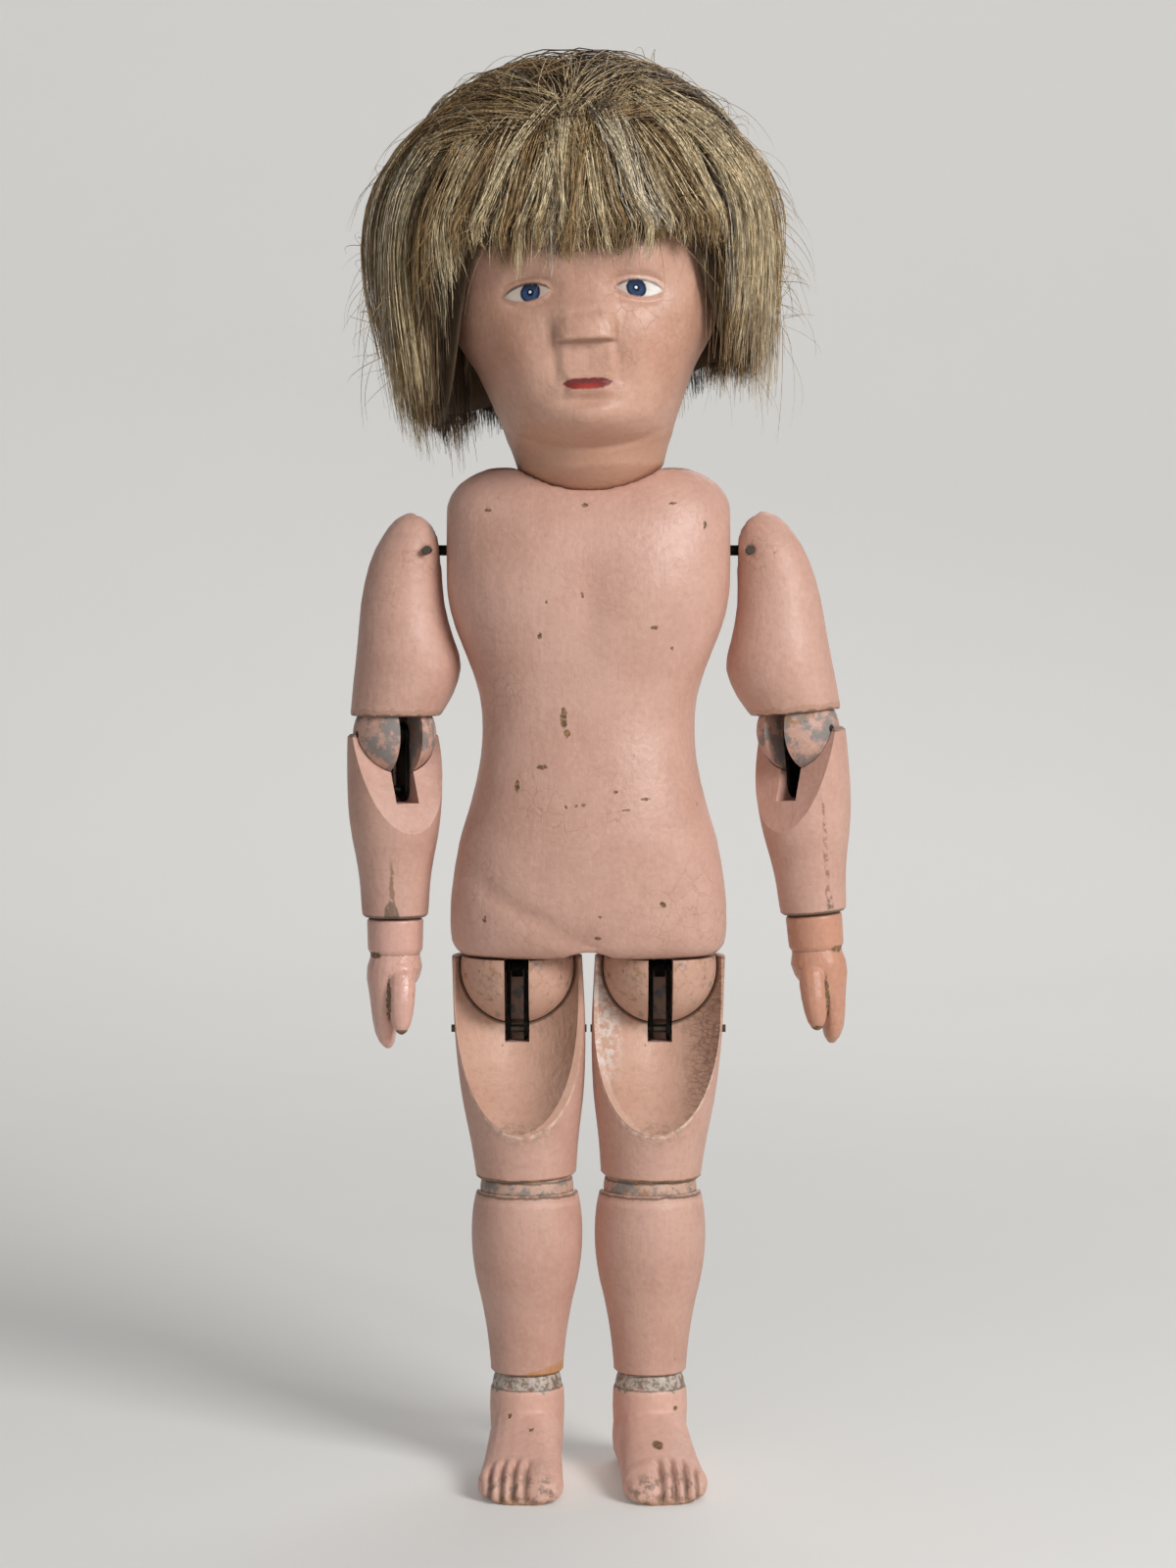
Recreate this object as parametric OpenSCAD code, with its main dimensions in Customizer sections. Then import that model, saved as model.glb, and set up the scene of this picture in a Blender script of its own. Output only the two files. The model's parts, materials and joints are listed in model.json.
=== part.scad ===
// Spring jointed wooden doll, about 406 mm tall, standing on its own feet.
// Lengths are in millimetres. The doll faces -Y and its right side is -X.

/* [Stance] */
// How far the doll stands to the side of the middle of the frame
stance_x = -3; // [-6:0.1:6]
// How far the ankles stand behind the middle of the frame
stance_y = -4.27; // [-15:0.1:15]
// Angle by which the right arm is lifted from the side
right_lift = 0; // [0:1:20]
// Angle by which the left arm is lifted from the side
left_lift = 5; // [0:1:20]
// Angle by which the right elbow is turned to the front
right_elbow_turn = 62; // [-60:1:80]
// Angle by which the left elbow is turned to the front
left_elbow_turn = 50; // [-60:1:80]
// Angle by which the right foot is turned outward
right_foot_turn = 4; // [0:1:20]
// Angle by which the left foot is turned outward
left_foot_turn = 8; // [0:1:20]
// Angle by which the head leans to the right
head_lean = 2.5; // [0:0.5:6]

/* [Torso] */
// Height of the torso from its flat bottom to its top beside the neck
torso_h = 139; // [120:1:160]
// Width over the flat shoulder sides
shoulder_w = 80.6; // [70:0.2:96]
// Width of the waist
waist_w = 60.8; // [52:0.2:74]
// Width over the hips
hip_w = 79.6; // [72:0.2:94]
// Depth of the torso, belly and seat together
torso_d = 52; // [46:0.5:62]
// Depth of the shoulder pins below the torso top
shoulder_drop = 23.4; // [17:0.2:34]
// Width of the arch between the two hip seats
crotch_w = 15; // [8:0.5:20]
// Height of the arch between the two hip seats
crotch_h = 2.4; // [1:0.2:5]

/* [Head] */
// Width of the head
head_w = 78; // [68:0.5:88]
// Height of the head over the torso top
head_h = 104.8; // [94:0.2:116]
// Reach of the face in front of the neck axis
head_front = 37; // [32:0.5:42]
// Reach of the skull behind the neck axis
head_back = 42.6; // [36:0.2:48]
// Distance of the neck axis in front of the ankles
neck_front = 2; // [0:0.5:5]
// Radius of the ball end of the neck
neck_ball_r = 26; // [23:0.2:29]
// Half width of the neck at the torso top
neck_r = 20.7; // [17:0.1:22]
// Reach of the nose over the face
nose_out = 6.2; // [3:0.2:9]
// Width of the nose tip
nose_w = 16.2; // [10:0.2:20]
// Distance between the eyes
eye_span = 30.2; // [26:0.2:36]
// Depth of the eye sockets
eye_in = 1.9; // [0.5:0.1:3]
// Reach of cheeks, lips and chin over the plain face
cheek_out = 1.6; // [0.5:0.1:3]

/* [Wig] */
// Thickness of the wig over the crown
wig_top_t = 13.2; // [8:0.2:18]
// Thickness of the wig at the right side
wig_right_t = 22; // [12:0.5:26]
// Thickness of the wig at the left side
wig_left_t = 18; // [12:0.5:26]
// Thickness of the fringe
wig_front_t = 7; // [4:0.2:12]
// Thickness of the wig at the back
wig_back_t = 12; // [8:0.2:18]
// Space between wig and head
wig_gap = 0.8; // [0.6:0.05:1]

/* [Arms] */
// Distance of the shoulder pins from the torso sides
shoulder_out = 5.4; // [5:0.1:7]
// Distance from shoulder pin down to elbow centre
upper_arm_len = 52.4; // [46:0.2:62]
// Distance from shoulder pin out to elbow centre
arm_out = 9.7; // [8:0.1:12]
// Thickness of the upper arm at its fullest place
upper_arm_w = 30.4; // [28:0.2:32]
// Height of the upper arm over the shoulder pin
arm_top = 10.7; // [9:0.1:13]
// Diameter of the elbow ball
elbow_ball_d = 23.8; // [22:0.2:25]
// Space from elbow centre up to the upper arm
elbow_rise = 5.2; // [4:0.1:6.5]
// Length of the forearm from elbow centre to wrist
forearm_len = 52.3; // [46:0.2:62]
// Diameter of the forearm at its fullest place
forearm_d = 27.2; // [26.6:0.1:30]
// Diameter of the forearm at the wrist
wrist_d = 18.6; // [16:0.2:21]
// Length of the hand
hand_len = 38; // [33:0.2:44]
// Diameter of the collar of the hand
cuff_d = 16.2; // [14:0.2:18]
// Breadth of the hand from front to back
hand_b = 19.4; // [16:0.2:23]

/* [Legs] */
// Distance between the two hip centres
hip_span = 40.8; // [40.4:0.2:44]
// Distance between the two knees and the two ankles
knee_span = 35.4; // [33.6:0.2:40]
// Height of the ankle centres over the ground
ankle_h = 24.6; // [22:0.2:28]
// Space from ankle centre up to the shin
ankle_rise = 4.3; // [3.6:0.1:5]
// Length of the shin from its end to the knee centre
shin_len = 52.7; // [48:0.2:60]
// Space from knee centre up to the thigh
knee_rise = 3.9; // [3:0.1:5]
// Length of the thigh
thigh_len = 63.4; // [58:0.2:72]
// Diameter of the thigh at its fullest place
thigh_d = 37.6; // [36.8:0.1:38.6]
// Diameter of the thigh over the knee
thigh_end_d = 28.6; // [27.6:0.2:31]
// Diameter of the hip ball
hip_ball_d = 32.6; // [31:0.2:33]
// Depth of the hip centre below the torso
hip_drop = 3; // [2.4:0.1:4]
// Diameter of the knee ball
knee_ball_d = 26.8; // [25:0.2:27]
// Diameter of the calf
calf_d = 31.8; // [30:0.2:34]
// Diameter of the shin over the ankle
shin_end_d = 20.8; // [20:0.2:23]
// Diameter of the ball end of the foot
ankle_ball_d = 20; // [18:0.2:20.4]
// Reach of the toes in front of the ankle
toe_reach = 42; // [36:0.5:50]
// Reach of the heel behind the ankle
heel_reach = 17; // [14:0.5:21]
// Width of the foot
foot_w = 23.4; // [22:0.2:27]
// Radius of the scoop in the front of the thigh
scoop_r = 90; // [70:1:140]
// Drop of the scoop's lower end below the hip centre
scoop_drop = 47; // [42:0.5:50]
// Distance of the scoop's upper end in front of the hip axis
scoop_front = 0.9; // [0.4:0.1:1.2]
// Diameter of the stand hole in the sole
stand_d = 4.4; // [3:0.1:5]
// Depth of the stand hole
stand_l = 13; // [9:0.5:14]

/* [Joints] */
// Diameter of the swivel rods
rod_d = 3; // [2.4:0.1:3.4]
// Diameter of the hinge pins
pin_d = 2.2; // [1.6:0.1:2.6]
// Width of the rod eyes and of the link ends
eye_d = 6.4; // [5.4:0.1:7]
// Thickness of a link plate
plate_t = 1.1; // [0.8:0.1:1.3]
// Width of the slots in balls and limbs
slot_w = 7; // [6.6:0.1:8]
// Diameter of the springs
spring_d = 8.6; // [8:0.1:9]
// Diameter of the spring wire
wire_d = 1.1; // [0.8:0.1:1.4]
// Length of the springs as fitted
spring_l = 12; // [9:0.5:13]
// Turns of each spring
spring_turns = 4; // [3:1:5]
// Thickness of the collars and washers under the springs
collar_t = 2.4; // [1.6:0.1:3]
// Thickness of the rod heads over the springs
rod_head_t = 1.2; // [0.8:0.1:2]
// Thickness of the wall between a ball seat and a collar
seat_wall = 1.2; // [0.8:0.1:2]
// Thickness of the torso wall under its washers
torso_wall = 5; // [4:0.1:7]
// Angle at which the forearm is cut away for the bend
elbow_cut = 66.5; // [60:0.5:70]
// Angle at which the shin is cut away for the bend
knee_cut = 62; // [56:0.5:66]
// Angle at which the thigh is bevelled over the bend
knee_bevel = 18; // [14:0.5:22]
// Space between pieces that move against each other
joint_gap = 0.3; // [0.25:0.05:0.4]
// Space around a turning pin or rod
run_gap = 0.08; // [0.05:0.01:0.12]
// Rounding of the rims of turned pieces
rim_round = 0.7; // [0.4:0.1:1]
// Reach of the hip pins beyond the thigh
pin_out = 0.9; // [0.4:0.1:1.2]

/* [Hidden] */
$fn = 64;
// Overrun of every cut
over = 2 * foot_w;
hip_x = hip_span / 2;
knee_x = knee_span / 2;
shin_z = ankle_h + ankle_rise;
knee_z = shin_z + shin_len;
thigh_z = knee_z + knee_rise;
hip_top = thigh_z + thigh_len;
hip_z = hip_top - hip_drop;
torso_z = hip_top + joint_gap;
torso_top = torso_z + torso_h;
shoulder_x = shoulder_w / 2 + shoulder_out;
shoulder_z = torso_top - shoulder_drop;
neck_z = torso_top + sqrt(pow(neck_ball_r, 2) - pow(neck_r, 2));
elbow_r = elbow_ball_d / 2;
hip_r = hip_ball_d / 2;
knee_r = knee_ball_d / 2;
ankle_r = ankle_ball_d / 2;
rod_r = rod_d / 2;
pin_r = pin_d / 2;
eye_r = eye_d / 2;
eye_t = rod_d + 2 * run_gap;
plate_x = eye_t / 2 + joint_gap;
spring_r = spring_d / 2;
bore_r = spring_r + joint_gap;
rod_hole = rod_r + joint_gap;
slot_back = eye_r + joint_gap;
thigh_slant = atan((hip_x - knee_x) / (hip_z - knee_z));
slim_slot = eye_t + 2 * joint_gap;
elbow_drop = elbow_r + eye_r + 3 * joint_gap;
hip_link_drop = hip_r + pin_r + 2 * joint_gap;
knee_drop = knee_r + eye_r + joint_gap;
forearm_pin = 1.3 * elbow_r;
shin_pin = 1.4 * knee_r;

// Height share, then the shares of hip, waist and shoulder half width,
// then the shares of the depth in front and behind
torso_shares = [
    [0, 0.89, 0, 0, 0.337, 0.385],
    [0.009, 0.945, 0, 0, 0.385, 0.433],
    [0.025, 0.985, 0, 0, 0.423, 0.471],
    [0.058, 1, 0, 0, 0.454, 0.508],
    [0.117, 0.995, 0, 0, 0.481, 0.523],
    [0.18, 0.86, 0.14, 0, 0.492, 0.504],
    [0.244, 0.68, 0.32, 0, 0.492, 0.458],
    [0.302, 0.41, 0.59, 0, 0.481, 0.404],
    [0.359, 0.19, 0.81, 0, 0.465, 0.358],
    [0.41, 0.05, 0.95, 0, 0.448, 0.335],
    [0.455, 0, 1, 0, 0.435, 0.327],
    [0.496, 0, 1.003, 0, 0.429, 0.331],
    [0.536, 0, 0.92, 0.08, 0.431, 0.342],
    [0.583, 0, 0.72, 0.28, 0.438, 0.362],
    [0.627, 0, 0.48, 0.52, 0.45, 0.381],
    [0.669, 0, 0.24, 0.76, 0.462, 0.4],
    [0.712, 0, 0.06, 0.94, 0.469, 0.415],
    [0.755, 0, 0, 1.01, 0.473, 0.427],
    [0.813, 0, 0, 1.02, 0.462, 0.431],
    [0.885, 0, 0, 1.02, 0.415, 0.404],
    [0.924, 0, 0, 1.01, 0.369, 0.365],
    [0.946, 0, 0, 0.975, 0.335, 0.335],
    [0.968, 0, 0, 0.915, 0.292, 0.296],
    [0.986, 0, 0, 0.82, 0.25, 0.258],
    [1, 0, 0, 0.7, 0.212, 0.223],
];
// Height share, then the shares of half width, of the face and of the skull
head_shares = [
    [0, 0.53, 0.557, 0.484],
    [0.031, 0.554, 0.59, 0.512],
    [0.055, 0.574, 0.65, 0.535],
    [0.079, 0.6, 0.77, 0.561],
    [0.108, 0.623, 0.88, 0.596],
    [0.136, 0.651, 0.933, 0.634],
    [0.175, 0.692, 0.95, 0.685],
    [0.222, 0.744, 0.951, 0.751],
    [0.27, 0.8, 0.957, 0.817],
    [0.308, 0.862, 0.968, 0.869],
    [0.346, 0.92, 0.978, 0.911],
    [0.385, 0.959, 0.984, 0.944],
    [0.423, 0.985, 0.981, 0.97],
    [0.48, 0.997, 0.984, 0.993],
    [0.547, 1, 1, 1],
    [0.614, 0.99, 0.997, 0.991],
    [0.69, 0.956, 0.957, 0.953],
    [0.766, 0.887, 0.865, 0.883],
    [0.843, 0.774, 0.73, 0.77],
    [0.909, 0.623, 0.562, 0.615],
    [0.957, 0.451, 0.389, 0.441],
    [0.986, 0.269, 0.227, 0.263],
];
head_level_shares = [
    0, 0.031, 0.05, 0.07, 0.09, 0.11, 0.135, 0.16, 0.185, 0.21, 0.235, 0.262, 0.29,
    0.318, 0.332, 0.35, 0.375, 0.405, 0.435, 0.465, 0.5, 0.54, 0.58, 0.63, 0.69,
    0.75, 0.81, 0.865, 0.91, 0.95, 0.982
];
// Height shares of mouth, nose tip, nose root, eyes, chin and cheeks
mouth_share = 0.215;
nose_share = 0.326;
bridge_share = 0.485;
eye_share = 0.462;
chin_share = 0.115;
cheek_share = 0.315;
// Height share of the widest place of the head, where the wig starts to hang
wide_share = 0.53;
// Height shares of the lower edge of the wig: front, right, left and back
fringe_share = 0.565;
wig_right_share = 0.135;
wig_left_share = 0.255;
wig_back_share = 0.19;

// Place share of the upper arm, then shares of its half width and of its offset
arm_shares = [
    [0, 0.852, 0.985],
    [0.04, 0.891, 0.892],
    [0.1, 0.947, 0.773],
    [0.17, 0.987, 0.67],
    [0.24, 1, 0.598],
    [0.31, 0.967, 0.608],
    [0.38, 0.905, 0.665],
    [0.46, 0.845, 0.716],
    [0.55, 0.789, 0.753],
    [0.65, 0.737, 0.732],
    [0.74, 0.684, 0.68],
    [0.82, 0.622, 0.593],
    [0.88, 0.536, 0.52],
    [0.93, 0.434, 0.485],
    [0.97, 0.303, 0.464],
    [1, 0.1, 0.443],
];
forearm_shares = [
    [0, 0], [0.04, 0.06], [0.2, 0.2], [0.32, 0.42], [0.43, 0.68], [0.55, 0.88],
    [0.66, 0.97], [0.77, 1], [0.9, 1], [1, 0.965]
];
thigh_shares = [[0, 0], [0.15, 0.24], [0.36, 0.7], [0.55, 0.93], [0.71, 1], [0.88, 0.985], [1, 0.96]];
shin_shares = [
    [0, 0], [0.06, 0.03], [0.22, 0.2], [0.38, 0.47], [0.52, 0.78], [0.64, 0.95], [0.74, 1],
    [0.84, 0.98], [0.93, 0.88], [1, 0.72]
];
// Length share from the heel, then shares of half width, height and inward shift
foot_shares = [
    [0, 0.3, 0.35, 0], [0.03, 0.6, 0.55, 0], [0.09, 0.78, 0.74, 0], [0.18, 0.86, 0.86, 0],
    [0.3, 0.89, 0.88, 0], [0.42, 0.9, 0.82, 0.01], [0.54, 0.92, 0.68, 0.03],
    [0.66, 0.96, 0.545, 0.06], [0.78, 1, 0.44, 0.08], [0.88, 0.985, 0.385, 0.1],
    [0.95, 0.86, 0.32, 0.13], [0.985, 0.66, 0.24, 0.16], [1, 0.42, 0.16, 0.18],
];
// Length share from the cuff, then shares of half thickness, half breadth and shifts
hand_shares = [
    [0.24, 0.7, 0.7, 0, 0], [0.3, 0.74, 0.78, 0, 0], [0.38, 0.82, 0.88, 0.02, 0.05],
    [0.47, 0.78, 0.9, 0.08, 0.12], [0.57, 0.62, 0.9, 0.18, 0.18], [0.68, 0.47, 0.88, 0.27, 0.22],
    [0.79, 0.38, 0.84, 0.31, 0.24], [0.88, 0.32, 0.76, 0.3, 0.24], [0.95, 0.24, 0.58, 0.26, 0.22],
    [1, 0.1, 0.3, 0.22, 0.2],
];
thumb_shares = [
    [0.34, 0.22, 0.42], [0.42, 0.38, 0.55], [0.52, 0.42, 0.68], [0.62, 0.4, 0.78],
    [0.72, 0.35, 0.84], [0.8, 0.27, 0.86], [0.85, 0.16, 0.86], [0.87, 0.05, 0.85],
];
toe_groove_shares = [-0.62, -0.33, -0.04, 0.26];
finger_groove_shares = [-0.34, 0.14, 0.6];

// Smooth value of column k of a table at the key t
function row_at(rows, t, i = 0) =
    (i >= len(rows) - 2 || t <= rows[i + 1][0]) ? i : row_at(rows, t, i + 1);
function slope(rows, i, k) =
    let (a = max(i - 1, 0), b = min(i + 1, len(rows) - 1))
    (rows[b][k] - rows[a][k]) / (rows[b][0] - rows[a][0]);
function smooth(rows, t, k) =
    let (i = row_at(rows, t), h = rows[i + 1][0] - rows[i][0], s = (t - rows[i][0]) / h)
    rows[i][k] * (1 + 2 * s) * pow(1 - s, 2) + slope(rows, i, k) * h * s * pow(1 - s, 2)
    + rows[i + 1][k] * s * s * (3 - 2 * s) + slope(rows, i + 1, k) * h * s * s * (s - 1);
function power(v, e) = sign(v) * pow(abs(v), e);
function bell(v, w) = exp(-pow(v / w, 2));
function ease(v) = let (s = min(max(v, 0), 1)) s * s * (3 - 2 * s);

// Closed solid through rings of equal point count, listed upward
module loft(rings) {
    n = len(rings[0]);
    m = len(rings);
    polyhedron(
        points = [for (r = rings) each r],
        faces = concat(
            [[for (i = [0:n - 1]) i]],
            [for (j = [0:m - 2], i = [0:n - 1])
                [j * n + i, (j + 1) * n + i, (j + 1) * n + (i + 1) % n]],
            [for (j = [0:m - 2], i = [0:n - 1])
                [j * n + i, (j + 1) * n + (i + 1) % n, j * n + (i + 1) % n]],
            [[for (i = [n - 1:-1:0]) (m - 1) * n + i]]
        )
    );
}

// Turned piece between two radii over a length
function turned(rows, r0, r1, l, steps = 26) = concat(
    [[0, 0], [r0 - rim_round, 0]],
    [for (i = [0:steps])
        let (z = rim_round + (l - 2 * rim_round) * i / steps)
        [r0 + (r1 - r0) * smooth(rows, z / l, 1), z]],
    [[r0 + (r1 - r0) * smooth(rows, 1, 1) - rim_round, l], [0, l]]
);

// Places in the doll
module on_stance() translate([stance_x, stance_y, 0]) children();
module on_side(side) on_stance() mirror([side < 0 ? 1 : 0, 0, 0]) children();
module at_neck() on_stance() translate([0, -neck_front, neck_z]) children();
module at_head() at_neck() rotate([0, -head_lean, 0]) children();
module at_shoulder(side)
    on_side(side) translate([shoulder_x, 0, shoulder_z])
        rotate([0, side < 0 ? -right_lift : -left_lift, 0]) children();
module at_elbow(side)
    at_shoulder(side) translate([arm_out, 0, -upper_arm_len])
        rotate([0, 0, (side < 0 ? right_elbow_turn : left_elbow_turn) - 90]) children();
module at_wrist(side) at_shoulder(side) translate([arm_out, 0, -upper_arm_len - forearm_len]) children();
module at_hip(side) on_side(side) translate([hip_x, 0, hip_z]) children();
module at_knee(side) on_side(side) translate([knee_x, 0, knee_z]) rotate([0, 0, 180]) children();
module at_ankle(side)
    on_side(side) translate([knee_x, 0, ankle_h])
        rotate([0, 0, side < 0 ? right_foot_turn : left_foot_turn]) children();

// Hinge hardware in the hinge frame: axis along X, rod upward, bend to -Y
module cross_bar(r, l) rotate([0, 90, 0]) cylinder(r = r, h = l, center = true);
module eye_rod(reach) {
    difference() {
        union() {
            cross_bar(eye_r, eye_t);
            cylinder(r = rod_r, h = reach);
            translate([0, 0, reach]) cylinder(r = spring_r, h = rod_head_t);
        }
        cross_bar(pin_r + run_gap, 2 * eye_t);
    }
}
module link_plate(drop, side) {
    translate([side > 0 ? plate_x : -plate_x - plate_t, 0, 0])
        rotate([90, 0, 90])
            linear_extrude(plate_t)
                difference() {
                    union() {
                        circle(eye_r);
                        translate([0, -drop]) circle(eye_r);
                        translate([-eye_r, -drop]) square([eye_d, drop]);
                    }
                    circle(pin_r + run_gap);
                    translate([0, -drop]) circle(pin_r + run_gap);
                }
}
module link(drop) {
    link_plate(drop, 1);
    link_plate(drop, -1);
}
module slotted_ball(r) {
    difference() {
        sphere(r);
        translate([-slot_w / 2, -over, -over]) cube([slot_w, over + slot_back, 2 * over]);
        cross_bar(pin_r + run_gap, over);
    }
}
module coil() {
    steps = 8 * spring_turns;
    rise = spring_l - wire_d - 2 * run_gap;
    mid_r = spring_r - wire_d / 2;
    loft([for (k = [0:steps])
        let (a = -360 * spring_turns * k / steps, z = wire_d / 2 + run_gap + rise * k / steps)
        [for (b = [45:90:315])
            let (r = mid_r + wire_d / 2 * cos(b))
            [r * cos(a), r * sin(a), z + wire_d / 2 * sin(b)]]]);
}
module collar() {
    difference() {
        cylinder(r = bore_r - run_gap, h = collar_t);
        translate([0, 0, -over]) cylinder(r = rod_r + run_gap, h = 2 * over);
    }
}
// Bore for a spring over a seat height, and what fills it
module spring_bore(seat, mouth) {
    translate([0, 0, seat]) cylinder(r = bore_r, h = collar_t + spring_l + rod_head_t + rod_r);
    translate([0, 0, seat - mouth]) cylinder(r = rod_hole, h = mouth + collar_t);
}
module spring_set(seat) {
    translate([0, 0, seat]) collar();
    translate([0, 0, seat + collar_t]) coil();
}
function rod_reach(seat) = seat + collar_t + spring_l;
elbow_seat = elbow_r + joint_gap + seat_wall;
knee_seat = knee_r + joint_gap + seat_wall;
ankle_seat = ankle_r + joint_gap + seat_wall;
hip_seat = torso_z - hip_z + torso_wall;
shoulder_seat = shoulder_out + torso_wall;
neck_seat = neck_ball_r + joint_gap + torso_wall;

// Torso halves
function torso_ring(row, back) =
    let (
        w = (row[1] * hip_w + row[2] * waist_w + row[3] * shoulder_w) / 2,
        d = back ? row[5] * torso_d : -row[4] * torso_d,
        z = torso_z + row[0] * torso_h,
        n = 18
    )
    [for (i = [0:n])
        let (a = back ? 180 * i / n : 180 - 180 * i / n,
            x = w * power(cos(a), 0.8))
        [min(max(x, -shoulder_w / 2), shoulder_w / 2), d * pow(sin(a), 0.8), z]];
module torso_half(back)
    loft([for (row = torso_shares)
        let (r = torso_ring(row, back)) back ? r : [for (i = [0:len(r) - 1]) r[i]]]);
module torso_cuts() {
    translate([0, -neck_front, neck_z]) sphere(neck_ball_r + joint_gap);
    translate([0, -neck_front, neck_z]) mirror([0, 0, 1]) spring_bore(neck_seat, neck_seat);
    for (s = [-1, 1]) {
        translate([s * hip_x, 0, hip_z]) spring_bore(hip_seat, hip_seat);
        translate([s * shoulder_x, 0, shoulder_z]) rotate([0, -90 * s, 0])
            spring_bore(shoulder_seat, shoulder_seat);
    }
    translate([0, 0, torso_z + crotch_h - (pow(crotch_w / 2, 2) + pow(crotch_h, 2)) / (2 * crotch_h)])
        rotate([90, 0, 0])
            cylinder(r = (pow(crotch_w / 2, 2) + pow(crotch_h, 2)) / (2 * crotch_h), h = 4 * over, center = true);
}
module torso_front()
    color([0.80, 0.61, 0.53]) on_stance() difference() { torso_half(false); torso_cuts(); }
module torso_back()
    color([0.80, 0.61, 0.53]) on_stance() difference() { torso_half(true); torso_cuts(); }
module at_torso_seats() {
    translate([0, -neck_front, neck_z]) mirror([0, 0, 1]) translate([0, 0, neck_seat]) children();
    for (s = [-1, 1]) {
        translate([s * hip_x, 0, hip_z + hip_seat]) children();
        translate([s * shoulder_x, 0, shoulder_z]) rotate([0, -90 * s, 0])
            translate([0, 0, shoulder_seat]) children();
    }
}
module torso_springs() color([0.45, 0.45, 0.47]) on_stance() at_torso_seats() translate([0, 0, collar_t]) coil();
module torso_washers() color([0.50, 0.48, 0.45]) on_stance() at_torso_seats() collar();

// Head and wig
function head_point(t, phi) =
    let (
        s = sin(phi),
        c = cos(phi),
        e = 1 - 0.12 * ease(t / 0.16),
        x = smooth(head_shares, t, 1) * head_w / 2 * power(s, e),
        y = c > 0 ? -smooth(head_shares, t, 2) * head_front * pow(c, e)
            : smooth(head_shares, t, 3) * head_back * pow(-c, e)
    )
    [x, y, torso_top - neck_z + t * head_h];
function face_out(x, t) =
    let (
        z = t * head_h,
        up = (t - nose_share) / (bridge_share - nose_share),
        side = abs(x) / (nose_w / 2 * (1 - 0.45 * ease(up))),
        eye = bell(abs(x) - eye_span / 2, 0.26 * eye_span) * bell(z - eye_share * head_h, 0.16 * eye_span),
        cheek = bell(abs(x) - 0.62 * eye_span, 0.36 * eye_span) * bell(z - cheek_share * head_h, 0.3 * eye_span),
        lips = bell(x, 0.28 * eye_span) * bell(z - mouth_share * head_h, 0.16 * eye_span),
        chin = bell(x, 0.3 * eye_span) * bell(z - chin_share * head_h, 0.15 * eye_span)
    )
    nose_out * (up < 0 ? ease(1 + up * 9) : 1 - 0.86 * ease(up)) * (up > 1 ? ease(3 - 2 * up) : 1)
        * ease(2.1 * (1.22 - side))
    - eye_in * eye + cheek_out * (cheek + lips + chin);
function spread(s) = 180 * s * (0.52 + 0.48 * pow(abs(s), 1.4));
head_n = 52;
module head_solid()
    loft(concat(
        [for (a = [6, 18, 29, 39, 47])
            let (k = a / 47 * asin(neck_r / neck_ball_r) * 0.985)
            [for (i = [0:head_n - 1])
                let (phi = spread(2 * i / head_n - 1))
                neck_ball_r * [sin(k) * sin(phi), -sin(k) * cos(phi), -cos(k)]]],
        [for (t = head_level_shares)
            [for (i = [0:head_n - 1])
                let (phi = spread(2 * i / head_n - 1), p = head_point(t, phi))
                p - [0, cos(phi) > 0 ? ease(2 * cos(phi)) * face_out(p[0], t) : 0, 0]]],
        [[for (i = [0:head_n - 1])
            let (phi = spread(2 * i / head_n - 1), p = head_point(0.986, phi))
            [0.4 * p[0], 0.4 * p[1], torso_top - neck_z + head_h]]]
    ));
module head()
    color([0.75, 0.56, 0.46]) difference() {
        at_head() head_solid();
        at_neck() {
            translate([-slim_slot / 2, -neck_r / 2, -over]) cube([slim_slot, neck_r, over + eye_r + joint_gap]);
            cross_bar(pin_r + run_gap, neck_r + eye_t);
        }
    }
module neck_pin() color([0.40, 0.38, 0.34]) at_neck() cross_bar(pin_r, neck_r + eye_t - 2 * run_gap);
module neck_rod() color([0.45, 0.45, 0.47]) at_neck() mirror([0, 0, 1]) eye_rod(rod_reach(neck_seat));
function wig_hem(phi) =
    let (
        a = abs(phi),
        low = phi < 0 ? wig_right_share : wig_left_share,
        side = fringe_share + (low - fringe_share) * ease((a - 38) / 30)
    )
    side + (wig_back_share - side) * ease((a - 110) / 60);
function wig_t(phi) =
    let (a = abs(phi), s = phi < 0 ? wig_right_t : wig_left_t)
    (wig_front_t + (s - wig_front_t) * ease((a - 20) / 55)) * (1 - ease((a - 100) / 70))
    + wig_back_t * ease((a - 100) / 70);
wig_n = 36;
wig_m = 11;
function wig_mid() = [0, 0, torso_top - neck_z + wide_share * head_h];
function wig_in(j, phi) =
    let (
        t = 0.99 - (0.99 - wig_hem(phi)) * pow(j / wig_m, 1.8),
        p = head_point(max(t, wide_share), phi),
        z = torso_top - neck_z + t * head_h,
        d = [p[0], p[1], max(z - wig_mid()[2], 0)],
        q = [p[0], p[1], z]
    )
    q + wig_gap * (1 + 0.8 * ease(j / 3)) * d / norm(d);
function wig_out(j, phi) =
    let (
        p = wig_in(j, phi),
        d = [p[0], p[1], max(p[2] - wig_mid()[2], 0)],
        u = d / norm(d),
        end = 1 - 0.8 * pow(j / wig_m, 8)
    )
    p + u * (wig_top_t * u[2] * u[2] + wig_t(phi) * (1 - u[2] * u[2])) * end;
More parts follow.
